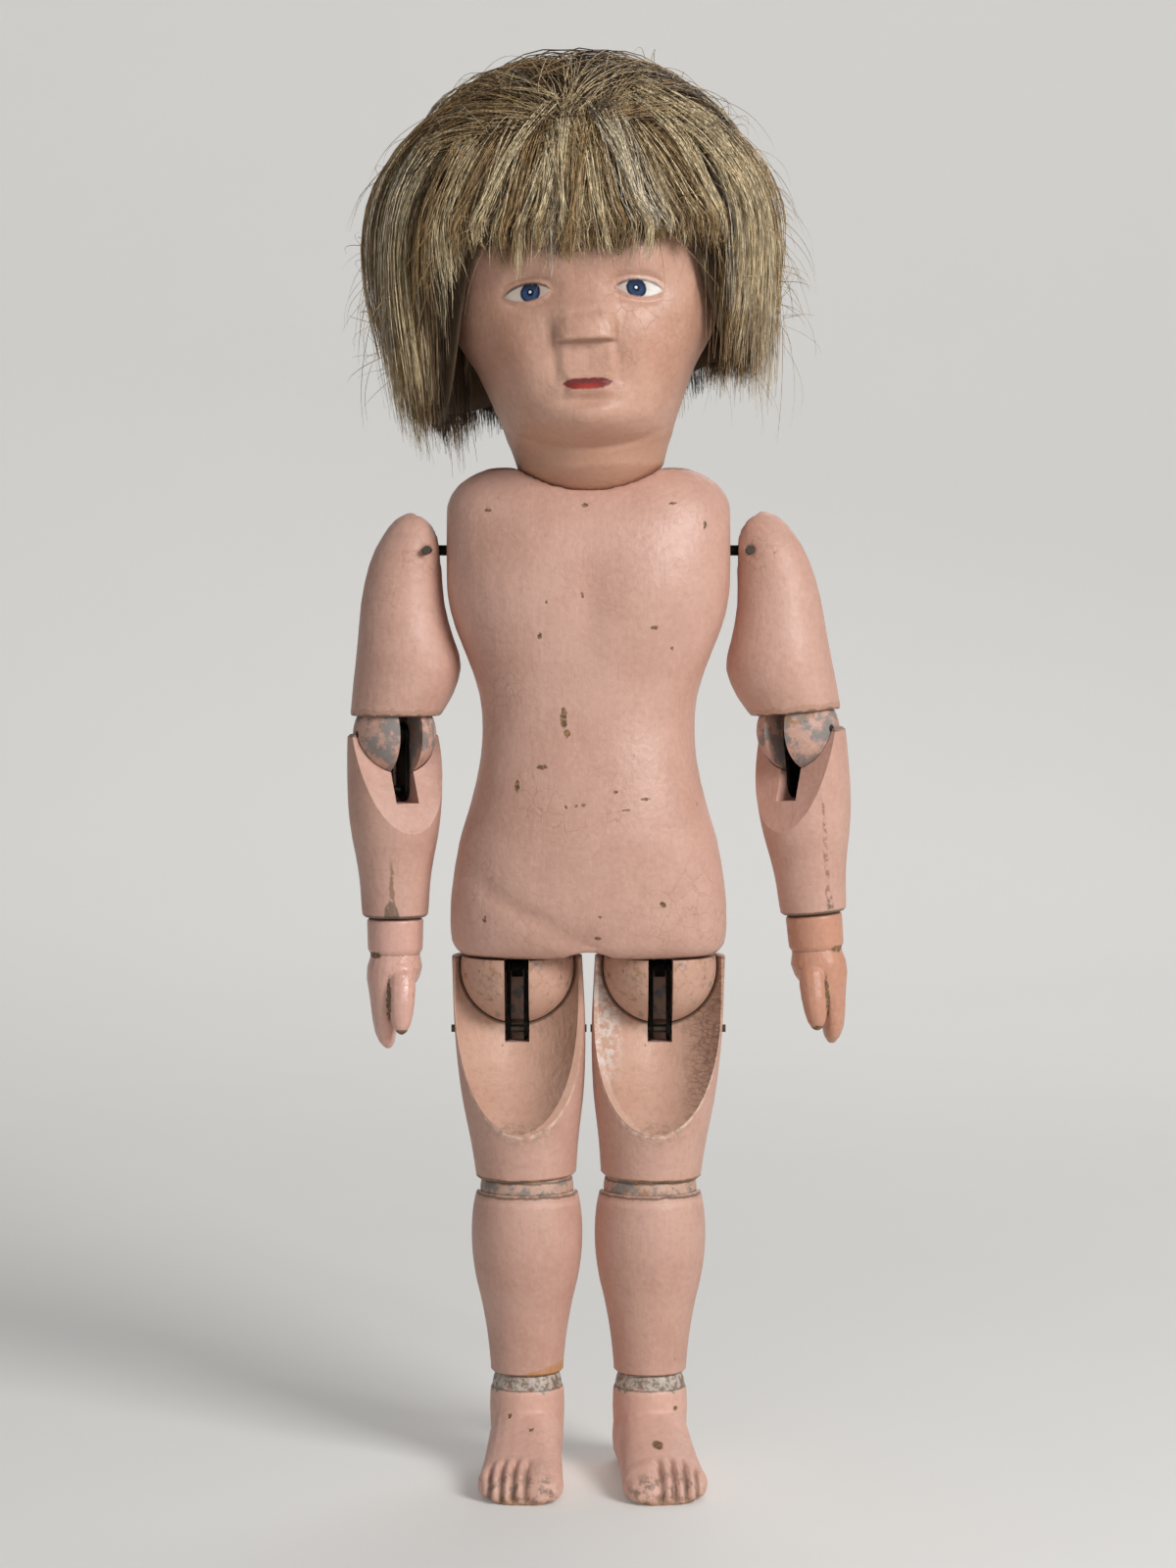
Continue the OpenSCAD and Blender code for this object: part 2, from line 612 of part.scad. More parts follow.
module wig()
    color([0.60, 0.52, 0.36]) at_head() {
        n = wig_n;
        m = wig_m;
        outer = [for (j = [1:m], i = [0:n - 1]) wig_out(j, 360 * i / n - 180)];
        inner = [for (j = [1:m], i = [0:n - 1]) wig_in(j, 360 * i / n - 180)];
        top_z = torso_top - neck_z + head_h;
        polyhedron(
            points = concat(outer, inner, [[0, 0, top_z + wig_top_t], [0, 0, top_z + wig_gap]]),
            faces = concat(
                [for (j = [0:m - 2], i = [0:n - 1])
                    [j * n + i, j * n + (i + 1) % n, (j + 1) * n + (i + 1) % n]],
                [for (j = [0:m - 2], i = [0:n - 1])
                    [j * n + i, (j + 1) * n + (i + 1) % n, (j + 1) * n + i]],
                [for (j = [0:m - 2], i = [0:n - 1])
                    [(m + j) * n + i, (m + j + 1) * n + (i + 1) % n, (m + j) * n + (i + 1) % n]],
                [for (j = [0:m - 2], i = [0:n - 1])
                    [(m + j) * n + i, (m + j + 1) * n + i, (m + j + 1) * n + (i + 1) % n]],
                [for (i = [0:n - 1])
                    [(m - 1) * n + i, (m - 1) * n + (i + 1) % n, (2 * m - 1) * n + (i + 1) % n]],
                [for (i = [0:n - 1])
                    [(m - 1) * n + i, (2 * m - 1) * n + (i + 1) % n, (2 * m - 1) * n + i]],
                [for (i = [0:n - 1]) [2 * m * n, (i + 1) % n, i]],
                [for (i = [0:n - 1]) [2 * m * n + 1, m * n + i, m * n + (i + 1) % n]]
            )
        );
    }

// Arms
module shoulder_rod(side)
    color([0.45, 0.45, 0.47]) on_side(side) translate([shoulder_x, 0, shoulder_z])
        rotate([0, -90, 0]) rotate([0, 0, 90]) eye_rod(rod_reach(shoulder_seat));
module shoulder_pin(side)
    color([0.33, 0.33, 0.29]) at_shoulder(side)
        rotate([0, 0, 90]) cross_bar(pin_r, upper_arm_w * 0.7);
module upper_arm_solid() {
    l = upper_arm_len - elbow_rise + arm_top;
    n = 28;
    loft([for (row = arm_shares)
        let (r = row[1] * upper_arm_w / 2, x = arm_out * row[2])
        [for (i = [0:n - 1])
            let (a = 360 * i / n)
            [x + r * cos(a), 0.96 * r * sin(a), elbow_rise - upper_arm_len + row[0] * l]]]);
}
module upper_arm(side)
    color([0.80, 0.60, 0.52]) difference() {
        at_shoulder(side) {
            difference() {
                upper_arm_solid();
                translate([-over, -slim_slot / 2, -slot_back])
                    cube([over + slot_back, slim_slot, over]);
                rotate([0, 0, 90]) cross_bar(pin_r + run_gap, over);
            }
        }
        at_elbow(side) {
            sphere(elbow_r + joint_gap);
            spring_bore(elbow_seat, elbow_seat);
        }
    }
module elbow_spring_set(side) color([0.48, 0.47, 0.46]) at_elbow(side) spring_set(elbow_seat);
module elbow_ball(side) color([0.62, 0.55, 0.52]) at_elbow(side) slotted_ball(elbow_r);
module elbow_rod(side) color([0.45, 0.45, 0.47]) at_elbow(side) eye_rod(rod_reach(elbow_seat));
module elbow_pin(side) color([0.33, 0.33, 0.29]) at_elbow(side) cross_bar(pin_r, elbow_ball_d - pin_r / 2);
module elbow_link(side)
    color([0.45, 0.45, 0.47]) at_elbow(side) {
        link(elbow_drop);
        translate([0, 0, -elbow_drop]) cross_bar(pin_r, forearm_pin - 2 * run_gap);
    }
module bend_cut(angle)
    translate([0, -joint_gap, 0]) rotate([angle, 0, 0]) translate([-over, -2 * over, 0]) cube(2 * over);
module limb_slot(drop)
    translate([-slot_w / 2, -over, -drop - eye_r - joint_gap])
        cube([slot_w, over + slot_back, over]);
module forearm(side)
    color([0.80, 0.60, 0.52]) at_elbow(side) difference() {
        translate([0, 0, -forearm_len])
            rotate_extrude() polygon(turned(forearm_shares, wrist_d / 2, forearm_d / 2, forearm_len));
        sphere(elbow_r + joint_gap);
        bend_cut(elbow_cut);
        limb_slot(elbow_drop);
        translate([0, 0, -elbow_drop]) cross_bar(pin_r + run_gap, forearm_pin);
        translate([0, 0, -forearm_len - over])
            cylinder(r = bore_r, h = over + collar_t + spring_l + rod_head_t + rod_r);
    }
module wrist_spring_set(side) color([0.48, 0.47, 0.46]) at_wrist(side) spring_set(0);
module wrist_rod(side)
    color([0.45, 0.45, 0.47]) at_wrist(side) {
        translate([0, 0, -hand_len / 4]) cylinder(r = rod_r, h = hand_len / 4 + collar_t + spring_l);
        translate([0, 0, collar_t + spring_l]) cylinder(r = spring_r, h = rod_head_t);
    }
module hand_solid() {
    n = 24;
    rotate_extrude()
        polygon([
            [0, -joint_gap], [cuff_d / 2 - rim_round, -joint_gap],
            [cuff_d / 2, -joint_gap - rim_round],
            [0.985 * cuff_d / 2, -0.16 * hand_len],
            [0.97 * cuff_d / 2, -0.25 * hand_len],
            [0.88 * cuff_d / 2, -0.275 * hand_len],
            [0.7 * cuff_d / 2, -0.3 * hand_len], [0, -0.3 * hand_len]
        ]);
    loft([for (k = [len(hand_shares) - 1:-1:0])
        let (row = hand_shares[k])
        [for (i = [0:n - 1])
            let (a = 360 * i / n)
            [hand_b / 2 * (row[3] + row[1] * power(cos(a), 0.9)),
                hand_b / 2 * (row[4] + row[2] * power(sin(a), 0.9)), -row[0] * hand_len]]]);
    loft([for (k = [len(thumb_shares) - 1:-1:0])
        let (row = thumb_shares[k])
        [for (i = [0:11])
            let (a = 30 * i)
            [hand_b / 2 * (-0.22 + row[1] * cos(a)), hand_b / 2 * (row[1] * sin(a) - row[2]),
                -row[0] * hand_len]]]);
}
module hand(side)
    color([0.80, 0.58, 0.48]) at_wrist(side) difference() {
        hand_solid();
        for (f = finger_groove_shares)
            for (s = [-1, 1])
                translate([hand_b / 2 * (s > 0 ? 0.69 : -0.08), (f + 0.1) * hand_b / 2, -1.04 * hand_len])
                    cylinder(r = rim_round, h = 0.4 * hand_len, $fn = 16);
        translate([0, 0, -hand_len / 4 - run_gap]) cylinder(r = rod_r + run_gap, h = over);
    }

// Legs
module hip_ball(side)
    color([0.74, 0.58, 0.46]) at_hip(side) difference() {
        slotted_ball(hip_r);
        translate([-over, -over, hip_drop]) cube(2 * over);
    }
module hip_rod(side)
    color([0.45, 0.45, 0.47]) at_hip(side) {
        eye_rod(rod_reach(hip_seat));
        cross_bar(pin_r, hip_ball_d - eye_d);
    }
module hip_link(side) color([0.45, 0.45, 0.47]) at_hip(side) link(hip_link_drop);
module hip_pin(side)
    color([0.33, 0.33, 0.29]) at_hip(side) translate([-hip_link_drop * tan(thigh_slant), 0, -hip_link_drop])
        rotate([0, 90, 0]) translate([0, 0, -thigh_d / 2 - joint_gap])
            cylinder(r = pin_r, h = thigh_d + joint_gap + pin_out);
scoop_low = 0.86 * thigh_d / 2;
scoop_run = norm([scoop_low - scoop_front, scoop_drop + hip_drop]);
scoop_out = sqrt(pow(scoop_r, 2) - pow(scoop_run / 2, 2)) / scoop_run;
module thigh(side)
    color([0.81, 0.61, 0.51]) difference() {
        on_side(side) translate([knee_x + knee_rise * tan(thigh_slant), 0, thigh_z])
            rotate([0, thigh_slant, 0])
                rotate_extrude()
                    polygon(turned(thigh_shares, thigh_end_d / 2, thigh_d / 2, thigh_len + 2 * rim_round));
        at_hip(side) {
            sphere(hip_r + joint_gap);
            translate([-over, -over, hip_drop]) cube(2 * over);
            translate([
                0,
                -(scoop_front + scoop_low) / 2 - scoop_out * (scoop_drop + hip_drop),
                (hip_drop - scoop_drop) / 2 + scoop_out * (scoop_low - scoop_front)
            ]) sphere(scoop_r, $fn = 200);
            limb_slot(hip_link_drop);
            translate([0, 0, -hip_link_drop]) cross_bar(pin_r + run_gap, 2 * over);
        }
        at_knee(side) {
            sphere(knee_r + joint_gap);
            spring_bore(knee_seat, knee_seat);
            translate([0, -joint_gap, knee_rise]) rotate([-knee_bevel, 0, 0])
                translate([-over, -2 * over, -2 * over]) cube(2 * over);
        }
    }
module knee_spring_set(side) color([0.48, 0.47, 0.46]) at_knee(side) spring_set(knee_seat);
module knee_ball(side) color([0.74, 0.64, 0.56]) at_knee(side) slotted_ball(knee_r);
module knee_rod(side)
    color([0.45, 0.45, 0.47]) at_knee(side) {
        eye_rod(rod_reach(knee_seat));
        cross_bar(pin_r, knee_ball_d - pin_r);
    }
module knee_link(side)
    color([0.45, 0.45, 0.47]) at_knee(side) {
        link(knee_drop);
        translate([0, 0, -knee_drop]) cross_bar(pin_r, shin_pin - 2 * run_gap);
    }
module shin(side)
    color([0.80, 0.60, 0.52]) on_side(side) difference() {
        translate([knee_x, 0, shin_z])
            rotate_extrude() polygon(turned(shin_shares, shin_end_d / 2, calf_d / 2, shin_len));
        translate([knee_x, 0, knee_z]) rotate([0, 0, 180]) {
            sphere(knee_r + joint_gap);
            bend_cut(knee_cut);
            limb_slot(knee_drop);
            translate([0, 0, -knee_drop]) cross_bar(pin_r + run_gap, shin_pin);
        }
        translate([knee_x, 0, ankle_h]) {
            sphere(ankle_r + joint_gap);
            spring_bore(ankle_seat, ankle_seat);
        }
    }
module ankle_spring_set(side) color([0.48, 0.47, 0.46]) at_ankle(side) spring_set(ankle_seat);
module ankle_rod(side)
    color([0.45, 0.45, 0.47]) at_ankle(side) {
        eye_rod(rod_reach(ankle_seat));
        cross_bar(pin_r, 1.7 * ankle_r - 2 * run_gap);
    }
module foot_solid() {
    n = 22;
    l = toe_reach + heel_reach;
    rotate([90, 0, 0])
        loft([for (row = foot_shares)
            [for (i = [0:n - 1])
                let (
                    a = 360 * i / n,
                    h = row[2] * ankle_h,
                    z = 0.42 * h + (sin(a) > 0 ? 0.58 : 0.56) * h * power(sin(a), 0.85)
                )
                [foot_w / 2 * (row[1] * power(cos(a), 0.8) - row[3]), max(z, 0) - ankle_h,
                    row[0] * l - heel_reach]]]);
    translate([0, 0, -ankle_h])
        rotate_extrude()
            polygon([
                [0, 0.3 * ankle_h], [0.9 * ankle_r, 0.3 * ankle_h], [1.05 * ankle_r, 0.5 * ankle_h],
                [1.075 * ankle_r, 0.75 * ankle_h], [1.06 * ankle_r, ankle_h - rim_round],
                [1.06 * ankle_r - rim_round / 2, ankle_h], [0, ankle_h]
            ]);
    sphere(ankle_r);
}
module foot(side)
    color([0.80, 0.60, 0.51]) at_ankle(side) difference() {
        foot_solid();
        translate([-slim_slot / 2, -ankle_r / 2, -slot_back]) cube([slim_slot, ankle_r, over]);
        cross_bar(pin_r + run_gap, 1.7 * ankle_r);
        for (f = toe_groove_shares)
            translate([-f * foot_w / 2, -0.66 * toe_reach, 0.56 * ankle_h - ankle_h])
                rotate([115, 0, 0]) cylinder(r = rim_round, h = 0.5 * toe_reach, $fn = 16);
        translate([0, 0, -ankle_h - over]) cylinder(d = stand_d, h = over + stand_l);
    }

module right_shoulder_rod() shoulder_rod(-1);
module right_upper_arm() upper_arm(-1);
module right_shoulder_pin() shoulder_pin(-1);
module right_elbow_spring_set() elbow_spring_set(-1);
module right_elbow_ball() elbow_ball(-1);
module right_elbow_rod() elbow_rod(-1);
module right_elbow_pin() elbow_pin(-1);
module right_forearm() forearm(-1);
module right_elbow_link() elbow_link(-1);
module right_wrist_spring_set() wrist_spring_set(-1);
module right_hand() hand(-1);
module right_wrist_rod() wrist_rod(-1);
module right_hip_ball() hip_ball(-1);
module right_hip_rod() hip_rod(-1);
module right_thigh() thigh(-1);
module right_hip_link() hip_link(-1);
module right_hip_pin() hip_pin(-1);
module right_knee_spring_set() knee_spring_set(-1);
module right_knee_ball() knee_ball(-1);
module right_knee_rod() knee_rod(-1);
module right_shin() shin(-1);
module right_knee_link() knee_link(-1);
module right_ankle_spring_set() ankle_spring_set(-1);
module right_ankle_rod() ankle_rod(-1);
module right_foot() foot(-1);
module left_shoulder_rod() shoulder_rod(1);
module left_upper_arm() upper_arm(1);
module left_shoulder_pin() shoulder_pin(1);
module left_elbow_spring_set() elbow_spring_set(1);
module left_elbow_ball() elbow_ball(1);
module left_elbow_rod() elbow_rod(1);
module left_elbow_pin() elbow_pin(1);
module left_forearm() forearm(1);
module left_elbow_link() elbow_link(1);
module left_wrist_spring_set() wrist_spring_set(1);
module left_hand() hand(1);
module left_wrist_rod() wrist_rod(1);
module left_hip_ball() hip_ball(1);
module left_hip_rod() hip_rod(1);
module left_thigh() thigh(1);
module left_hip_link() hip_link(1);
module left_hip_pin() hip_pin(1);
module left_knee_spring_set() knee_spring_set(1);
module left_knee_ball() knee_ball(1);
module left_knee_rod() knee_rod(1);
module left_shin() shin(1);
module left_knee_link() knee_link(1);
module left_ankle_spring_set() ankle_spring_set(1);
module left_ankle_rod() ankle_rod(1);
module left_foot() foot(1);

// Sub-parts
torso_front();
torso_back();
torso_springs();
torso_washers();
neck_rod();
head();
neck_pin();
wig();
right_shoulder_rod();
right_upper_arm();
right_shoulder_pin();
right_elbow_spring_set();
right_elbow_ball();
right_elbow_rod();
right_elbow_pin();
right_forearm();
right_elbow_link();
right_wrist_spring_set();
right_hand();
right_wrist_rod();
right_hip_ball();
right_hip_rod();
right_thigh();
right_hip_link();
right_hip_pin();
right_knee_spring_set();
right_knee_ball();
right_knee_rod();
right_shin();
right_knee_link();
right_ankle_spring_set();
right_ankle_rod();
right_foot();
left_shoulder_rod();
left_upper_arm();
left_shoulder_pin();
left_elbow_spring_set();
left_elbow_ball();
left_elbow_rod();
left_elbow_pin();
left_forearm();
left_elbow_link();
left_wrist_spring_set();
left_hand();
left_wrist_rod();
left_hip_ball();
left_hip_rod();
left_thigh();
left_hip_link();
left_hip_pin();
left_knee_spring_set();
left_knee_ball();
left_knee_rod();
left_shin();
left_knee_link();
left_ankle_spring_set();
left_ankle_rod();
left_foot();
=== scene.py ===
"""Dresses the spring jointed wooden doll: carved head, wig, painted wood and steel."""

import json
import math
from functools import partial

import bmesh
import bpy
import numpy as np
from mathutils import Matrix, Vector


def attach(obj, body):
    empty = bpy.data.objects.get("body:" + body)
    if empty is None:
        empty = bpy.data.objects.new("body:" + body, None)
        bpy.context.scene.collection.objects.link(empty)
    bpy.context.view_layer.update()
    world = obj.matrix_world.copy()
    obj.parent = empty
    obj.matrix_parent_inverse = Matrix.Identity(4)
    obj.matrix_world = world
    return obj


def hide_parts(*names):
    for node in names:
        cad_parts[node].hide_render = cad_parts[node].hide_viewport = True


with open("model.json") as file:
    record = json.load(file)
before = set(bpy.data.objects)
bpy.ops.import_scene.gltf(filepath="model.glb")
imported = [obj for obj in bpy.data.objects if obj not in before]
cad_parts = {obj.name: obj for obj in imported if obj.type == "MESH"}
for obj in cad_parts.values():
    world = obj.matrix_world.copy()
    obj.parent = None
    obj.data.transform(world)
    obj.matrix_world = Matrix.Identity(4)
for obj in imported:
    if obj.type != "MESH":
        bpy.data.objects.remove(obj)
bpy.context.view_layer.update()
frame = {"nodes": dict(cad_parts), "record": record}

bl_info = {
    "name": "Spring jointed doll",
    "version": (1, 0, 0),
    "blender": (4, 5, 0),
    "location": "View3D > Sidebar > Doll",
    "description": "Builds the painted head, wig, hands and feet of a wooden doll",
    "category": "Object",
}

# Sizes of the even meshes of the carved copies, in metres
TORSO_VOXEL = 0.00105
ARM_VOXEL = 0.0007
HAND_VOXEL = 0.00036
FOOT_VOXEL = 0.00048

# Floor, wall and bend between them, aim of the lamps and side place of the camera, in metres
FLOOR_HALF = 2.0
WALL_HEIGHT = 3.0
BEND_SIZE = 0.8
LAMP_AIM = (0, 0, 0.23)
CAMERA_X = -0.00314

# Meshes of head and cap, wall of the cap in metres, loose hairs and seed of the hair's random draws
HEAD_GRID = (224, 190)
CAP_GRID = (96, 26)
CAP_WALL = 0.0006
STRAY_HAIRS = 520
HAIR_SEED = 11

# Shares of the head's mesh up to the neck and the fringe, and the head's height there
NECK_SHARE = 0.1
FACE_SHARE = 0.85
FACE_TOP = 0.66

# Places of the doll in millimetres, as in the solids
STANCE_X = -3.0
STANCE_Y = -4.27
TORSO_TOP = 288.2
NECK_Z = 303.933
NECK_Y = STANCE_Y - 2.0
HEAD_H = 104.8
HEAD_HALF = 39.0
HEAD_FRONT = 37.0
HEAD_BACK = 42.6
NECK_BALL = 26.0
NECK_R = 20.7
HEAD_LEAN = math.radians(2.5)
HEAD_CENTRE = (STANCE_X, NECK_Y, NECK_Z)
HEAD_TURN = (0.0, -HEAD_LEAN, 0.0)
SHOULDER_X = 45.7
SHOULDER_Z = 264.8
LEFT_LIFT = math.radians(5.0)
HIP_X = 20.4
HIP_Z = 145.9
FOOT_X = 17.7
TOE_EDGES = (7.25, 3.86, 0.47, -3.04)
SCOOP_MIDDLE = (0.0, -90.9, 3.15)
SCOOP_R = 90.2
BOWL_DEPTH = 9.0
CHIN_Z = TORSO_TOP - NECK_Z
EYE_X = 15.4
EYE_Z = 31.3
EYE_TILT = 0.09
MOUTH_Z = 6.1
NOSE_Z = 18.2


def tint(red, green, blue):
    """Linear colour of a screen colour."""
    return tuple(
        (c / 255 / 12.92 if c < 11 else ((c / 255 + 0.055) / 1.055) ** 2.4) for c in (red, green, blue)
    )


def rgba(colour):
    return (colour[0], colour[1], colour[2], 1.0)


def scaled(colour, share):
    return tuple(share * c for c in colour)


# Settings

def colour_property(name, description, red, green, blue):
    return bpy.props.FloatVectorProperty(
        name=name, description=description, subtype="COLOR", size=3, min=0.0, max=1.0,
        default=tint(red, green, blue)
    )


def number_property(name, description, default, unit="NONE", **limits):
    return bpy.props.FloatProperty(name=name, description=description, default=default, unit=unit, **limits)


class DollPaint(bpy.types.PropertyGroup):
    """Colours of the painted wood"""

    flesh: colour_property("Flesh", "Enamel of torso and limbs", 209, 166, 149)
    flesh_deep: colour_property("Deep flesh", "Darker patches of the enamel", 193, 147, 129)
    face: colour_property("Face", "Enamel of the face", 206, 162, 141)
    face_deep: colour_property("Deep face", "Darker patches of the face", 184, 136, 113)
    hand_left: colour_property("Left hand", "Enamel of the left hand", 206, 149, 123)
    hand_right: colour_property("Right hand", "Enamel of the right hand", 222, 174, 158)
    bare_wood: colour_property("Bare wood", "Wood in worn places", 158, 116, 76)
    grime: colour_property("Grime", "Dirt in chips and along rims", 92, 75, 58)
    primer: colour_property("Primer", "Grey ground under the enamel", 128, 128, 126)
    iris: colour_property("Iris", "Painted iris", 56, 80, 116)
    lips: colour_property("Lips", "Painted lips", 166, 40, 36)


class DollWig(bpy.types.PropertyGroup):
    """Sizes and colours of the wig"""

    strand: number_property("Strand", "Radius of a strand", 0.000145, "LENGTH", min=0.00005, max=0.0004)
    count: bpy.props.IntProperty(
        name="Strands", description="Strands of one lock layer", default=1280, min=200, max=2000
    )
    # The light hair is partly a painted highlight on the top layers, the dark hair partly painted shade on the
    # under layers; both also tint random locks
    light: colour_property("Light hair", "Sunlit strands", 244, 222, 178)
    middle: colour_property("Hair", "Most strands", 180, 145, 96)
    dark: colour_property("Dark hair", "Strands underneath", 84, 62, 36)
    cap: colour_property("Cap", "Sewn cap under the strands", 70, 54, 34)


class DollStage(bpy.types.PropertyGroup):
    """Camera and light"""

    distance: number_property("Distance", "Camera distance", 1.0, "LENGTH")
    height: number_property("Height", "Camera height", 0.25, "LENGTH")
    aim: number_property("Aim", "Height of the picture's middle", 0.1981, "LENGTH")
    lens: number_property("Lens", "Focal length in millimetres", 80.36, min=20.0)
    key: number_property("Key light", "Power of the main lamp", 15.5, "POWER")
    fill: number_property("Fill light", "Power of the fill lamp", 2.0, "POWER")
    rim: number_property("Rim light", "Power of the lamp behind", 5.0, "POWER")
    sky: number_property("Room light", "Strength of the light all round", 0.21, min=0.0)
    floor: colour_property("Floor", "Floor and backdrop", 226, 224, 220)


# Shader nodes

class Value:
    """Socket of a shader node that takes part in sums and products."""

    def __init__(self, nodes, socket):
        self.nodes = nodes
        self.socket = socket

    def __add__(self, other):
        return self.nodes.math("ADD", self, other)

    def __sub__(self, other):
        return self.nodes.math("SUBTRACT", self, other)

    def __rsub__(self, other):
        return self.nodes.math("SUBTRACT", other, self)

    def __mul__(self, other):
        return self.nodes.math("MULTIPLY", self, other)

    def __truediv__(self, other):
        return self.nodes.math("DIVIDE", self, other)

    def __pow__(self, other):
        return self.nodes.math("POWER", self, other)

    def __abs__(self):
        return self.nodes.math("ABSOLUTE", self)


class Nodes:
    """Adds and links shader nodes in one tree."""

    def __init__(self, tree):
        self.tree = tree

    def add(self, kind, **settings):
        node = self.tree.nodes.new(kind)
        for key, value in settings.items():
            setattr(node, key, value)
        return node

    def feed(self, socket, value):
        if isinstance(value, Value):
            self.tree.links.new(value.socket, socket)
        else:
            socket.default_value = value

    def fed(self, node, *values):
        """Node with values on its first inputs."""
        for socket, value in zip(node.inputs, values):
            self.feed(socket, value)
        return node

    def values(self, sockets):
        return {socket.name: Value(self, socket) for socket in sockets}

    def math(self, operation, *values, clamp=False):
        node = self.fed(self.add("ShaderNodeMath", operation=operation, use_clamp=clamp), *values)
        return Value(self, node.outputs[0])

    def vector(self, operation, *values):
        node = self.fed(self.add("ShaderNodeVectorMath", operation=operation), *values)
        number = operation in ("LENGTH", "DISTANCE", "DOT_PRODUCT")
        return Value(self, node.outputs["Value" if number else "Vector"])

    def mix(self, factor, first, second):
        node = self.add("ShaderNodeMix", data_type="RGBA")
        self.feed(node.inputs[0], factor)
        for index, value in ((6, first), (7, second)):
            self.feed(node.inputs[index], value if isinstance(value, Value) else rgba(value))
        return Value(self, node.outputs[2])

    def step(self, value, low, high):
        node = self.fed(self.add("ShaderNodeMapRange", interpolation_type="SMOOTHSTEP"), value, low, high)
        return Value(self, node.outputs["Result"])

    def noise(self, place, scale, detail=2.0, rough=0.5, output="Fac"):
        node = self.add("ShaderNodeTexNoise")
        for key, value in (("Vector", place), ("Scale", scale), ("Detail", detail), ("Roughness", rough)):
            self.feed(node.inputs[key], value)
        return Value(self, node.outputs[output])

    def cover(self, colour, paint, mask, strength):
        """Colour under a paint that lies where the mask is."""
        return self.mix(mask * strength, colour, paint)

    def blotch(self, place, scale, low, high, detail=2.0, rough=0.5):
        """Noise cut to patches between two values."""
        return self.step(self.noise(place, scale, detail, rough), low, high)

    def voronoi(self, place, scale, feature="F1"):
        node = self.add("ShaderNodeTexVoronoi", feature=feature)
        self.feed(node.inputs["Vector"], place)
        self.feed(node.inputs["Scale"], scale)
        return self.values(node.outputs)

    def combine(self, x, y):
        return Value(self, self.fed(self.add("ShaderNodeCombineXYZ"), x, y).outputs[0])

    def split(self, place):
        node = self.fed(self.add("ShaderNodeSeparateXYZ"), place)
        return [Value(self, socket) for socket in node.outputs]

    def group(self, tree, **values):
        node = self.add("ShaderNodeGroup", node_tree=tree)
        for key, value in values.items():
            self.feed(node.inputs[key], value)
        return self.values(node.outputs)


def new_group(name, vectors, numbers, outputs):
    """Shader node group with named inputs and number outputs, ready to be filled."""
    tree = bpy.data.node_groups.new(name, "ShaderNodeTree")
    sockets = ((vectors, "INPUT", "Vector"), (numbers, "INPUT", "Float"), (outputs, "OUTPUT", "Float"))
    for labels, way, kind in sockets:
        for label in labels:
            tree.interface.new_socket(label, in_out=way, socket_type="NodeSocket" + kind)
    nodes = Nodes(tree)
    given = nodes.values(nodes.add("NodeGroupInput").outputs)
    return nodes, given, nodes.add("NodeGroupOutput").inputs


def enamel_group():
    """Mottling, wood grain, chips and fine crazing of old enamel on wood, for places in millimetres."""
    if "Old enamel" in bpy.data.node_groups:
        return bpy.data.node_groups["Old enamel"]
    labels = ("Mottle", "Grain", "Chips", "Specks", "Scratches", "Crazing", "Peel", "Height")
    nodes, given, out = new_group("Old enamel", ("Place",), (), labels)
    place = given["Place"]
    warp = nodes.noise(place, 0.5, 2.0, 0.6, "Color")
    bent = nodes.vector("MULTIPLY_ADD", warp, (2.2, 2.2, 2.2), place)
    mottle = nodes.blotch(place, 0.05, 0.3, 0.72, 4.0, 0.6)
    along = nodes.vector("MULTIPLY", place, (1.5, 1.5, 0.05))
    grain = nodes.noise(along, 0.7, 4.0, 0.65)
    cells = nodes.voronoi(nodes.vector("MULTIPLY", bent, (1.0, 1.0, 0.55)), 0.085)
    chance = nodes.split(cells["Color"])[0]
    reach = (chance - 0.7) * 0.2
    chips = nodes.step(reach - cells["Distance"], 0.0, 0.015)
    dots = nodes.voronoi(nodes.vector("MULTIPLY", bent, (1.0, 1.0, 0.6)), 0.24)
    odds = nodes.split(dots["Color"])[2]
    specks = (odds - 0.74) * 0.5 - dots["Distance"]
    specks = nodes.step(specks, 0.0, 0.05) * nodes.blotch(place, 0.06, 0.42, 0.58, 2.0)
    peel = nodes.noise(place, 0.62, 2.0, 0.55)
    lines = nodes.voronoi(nodes.vector("MULTIPLY", bent, (1.3, 1.3, 0.16)), 0.11)
    luck = nodes.split(lines["Color"])[1]
    width = (luck - 0.7) * 0.13
    scratches = nodes.step(width - lines["Distance"], 0.0, 0.012)
    edges = nodes.voronoi(bent, 0.2, "DISTANCE_TO_EDGE")
    crazing = nodes.step(edges["Distance"], 0.035, 0.0)
    crazing = crazing * nodes.blotch(place, 0.035, 0.5, 0.66, 2.0)
    height = grain * 0.3 - chips * 0.9 - crazing * 0.25 + nodes.noise(place, 0.22, 3.0) * 0.5
    height = height + peel * 0.9 - specks * 0.5
    for label, value in zip(labels, (mottle, grain, chips, specks, scratches, crazing, peel, height)):
        nodes.feed(out[label], value)
    return nodes.tree


def band_group():
    """Uneven stripe round a piece at a height, for dirt and wear along rims."""
    if "Rim band" in bpy.data.node_groups:
        return bpy.data.node_groups["Rim band"]
    nodes, given, out = new_group("Rim band", ("Place",), ("Level", "Width", "Waver"), ("Mask",))
    ripple = nodes.noise(given["Place"], 0.28, 4.0, 0.7) - 0.5
    level = ripple * given["Waver"] + given["Level"]
    away = abs(nodes.split(given["Place"])[2] - level)
    nodes.feed(out["Mask"], nodes.step(given["Width"] - away, 0.0, 0.5))
    return nodes.tree


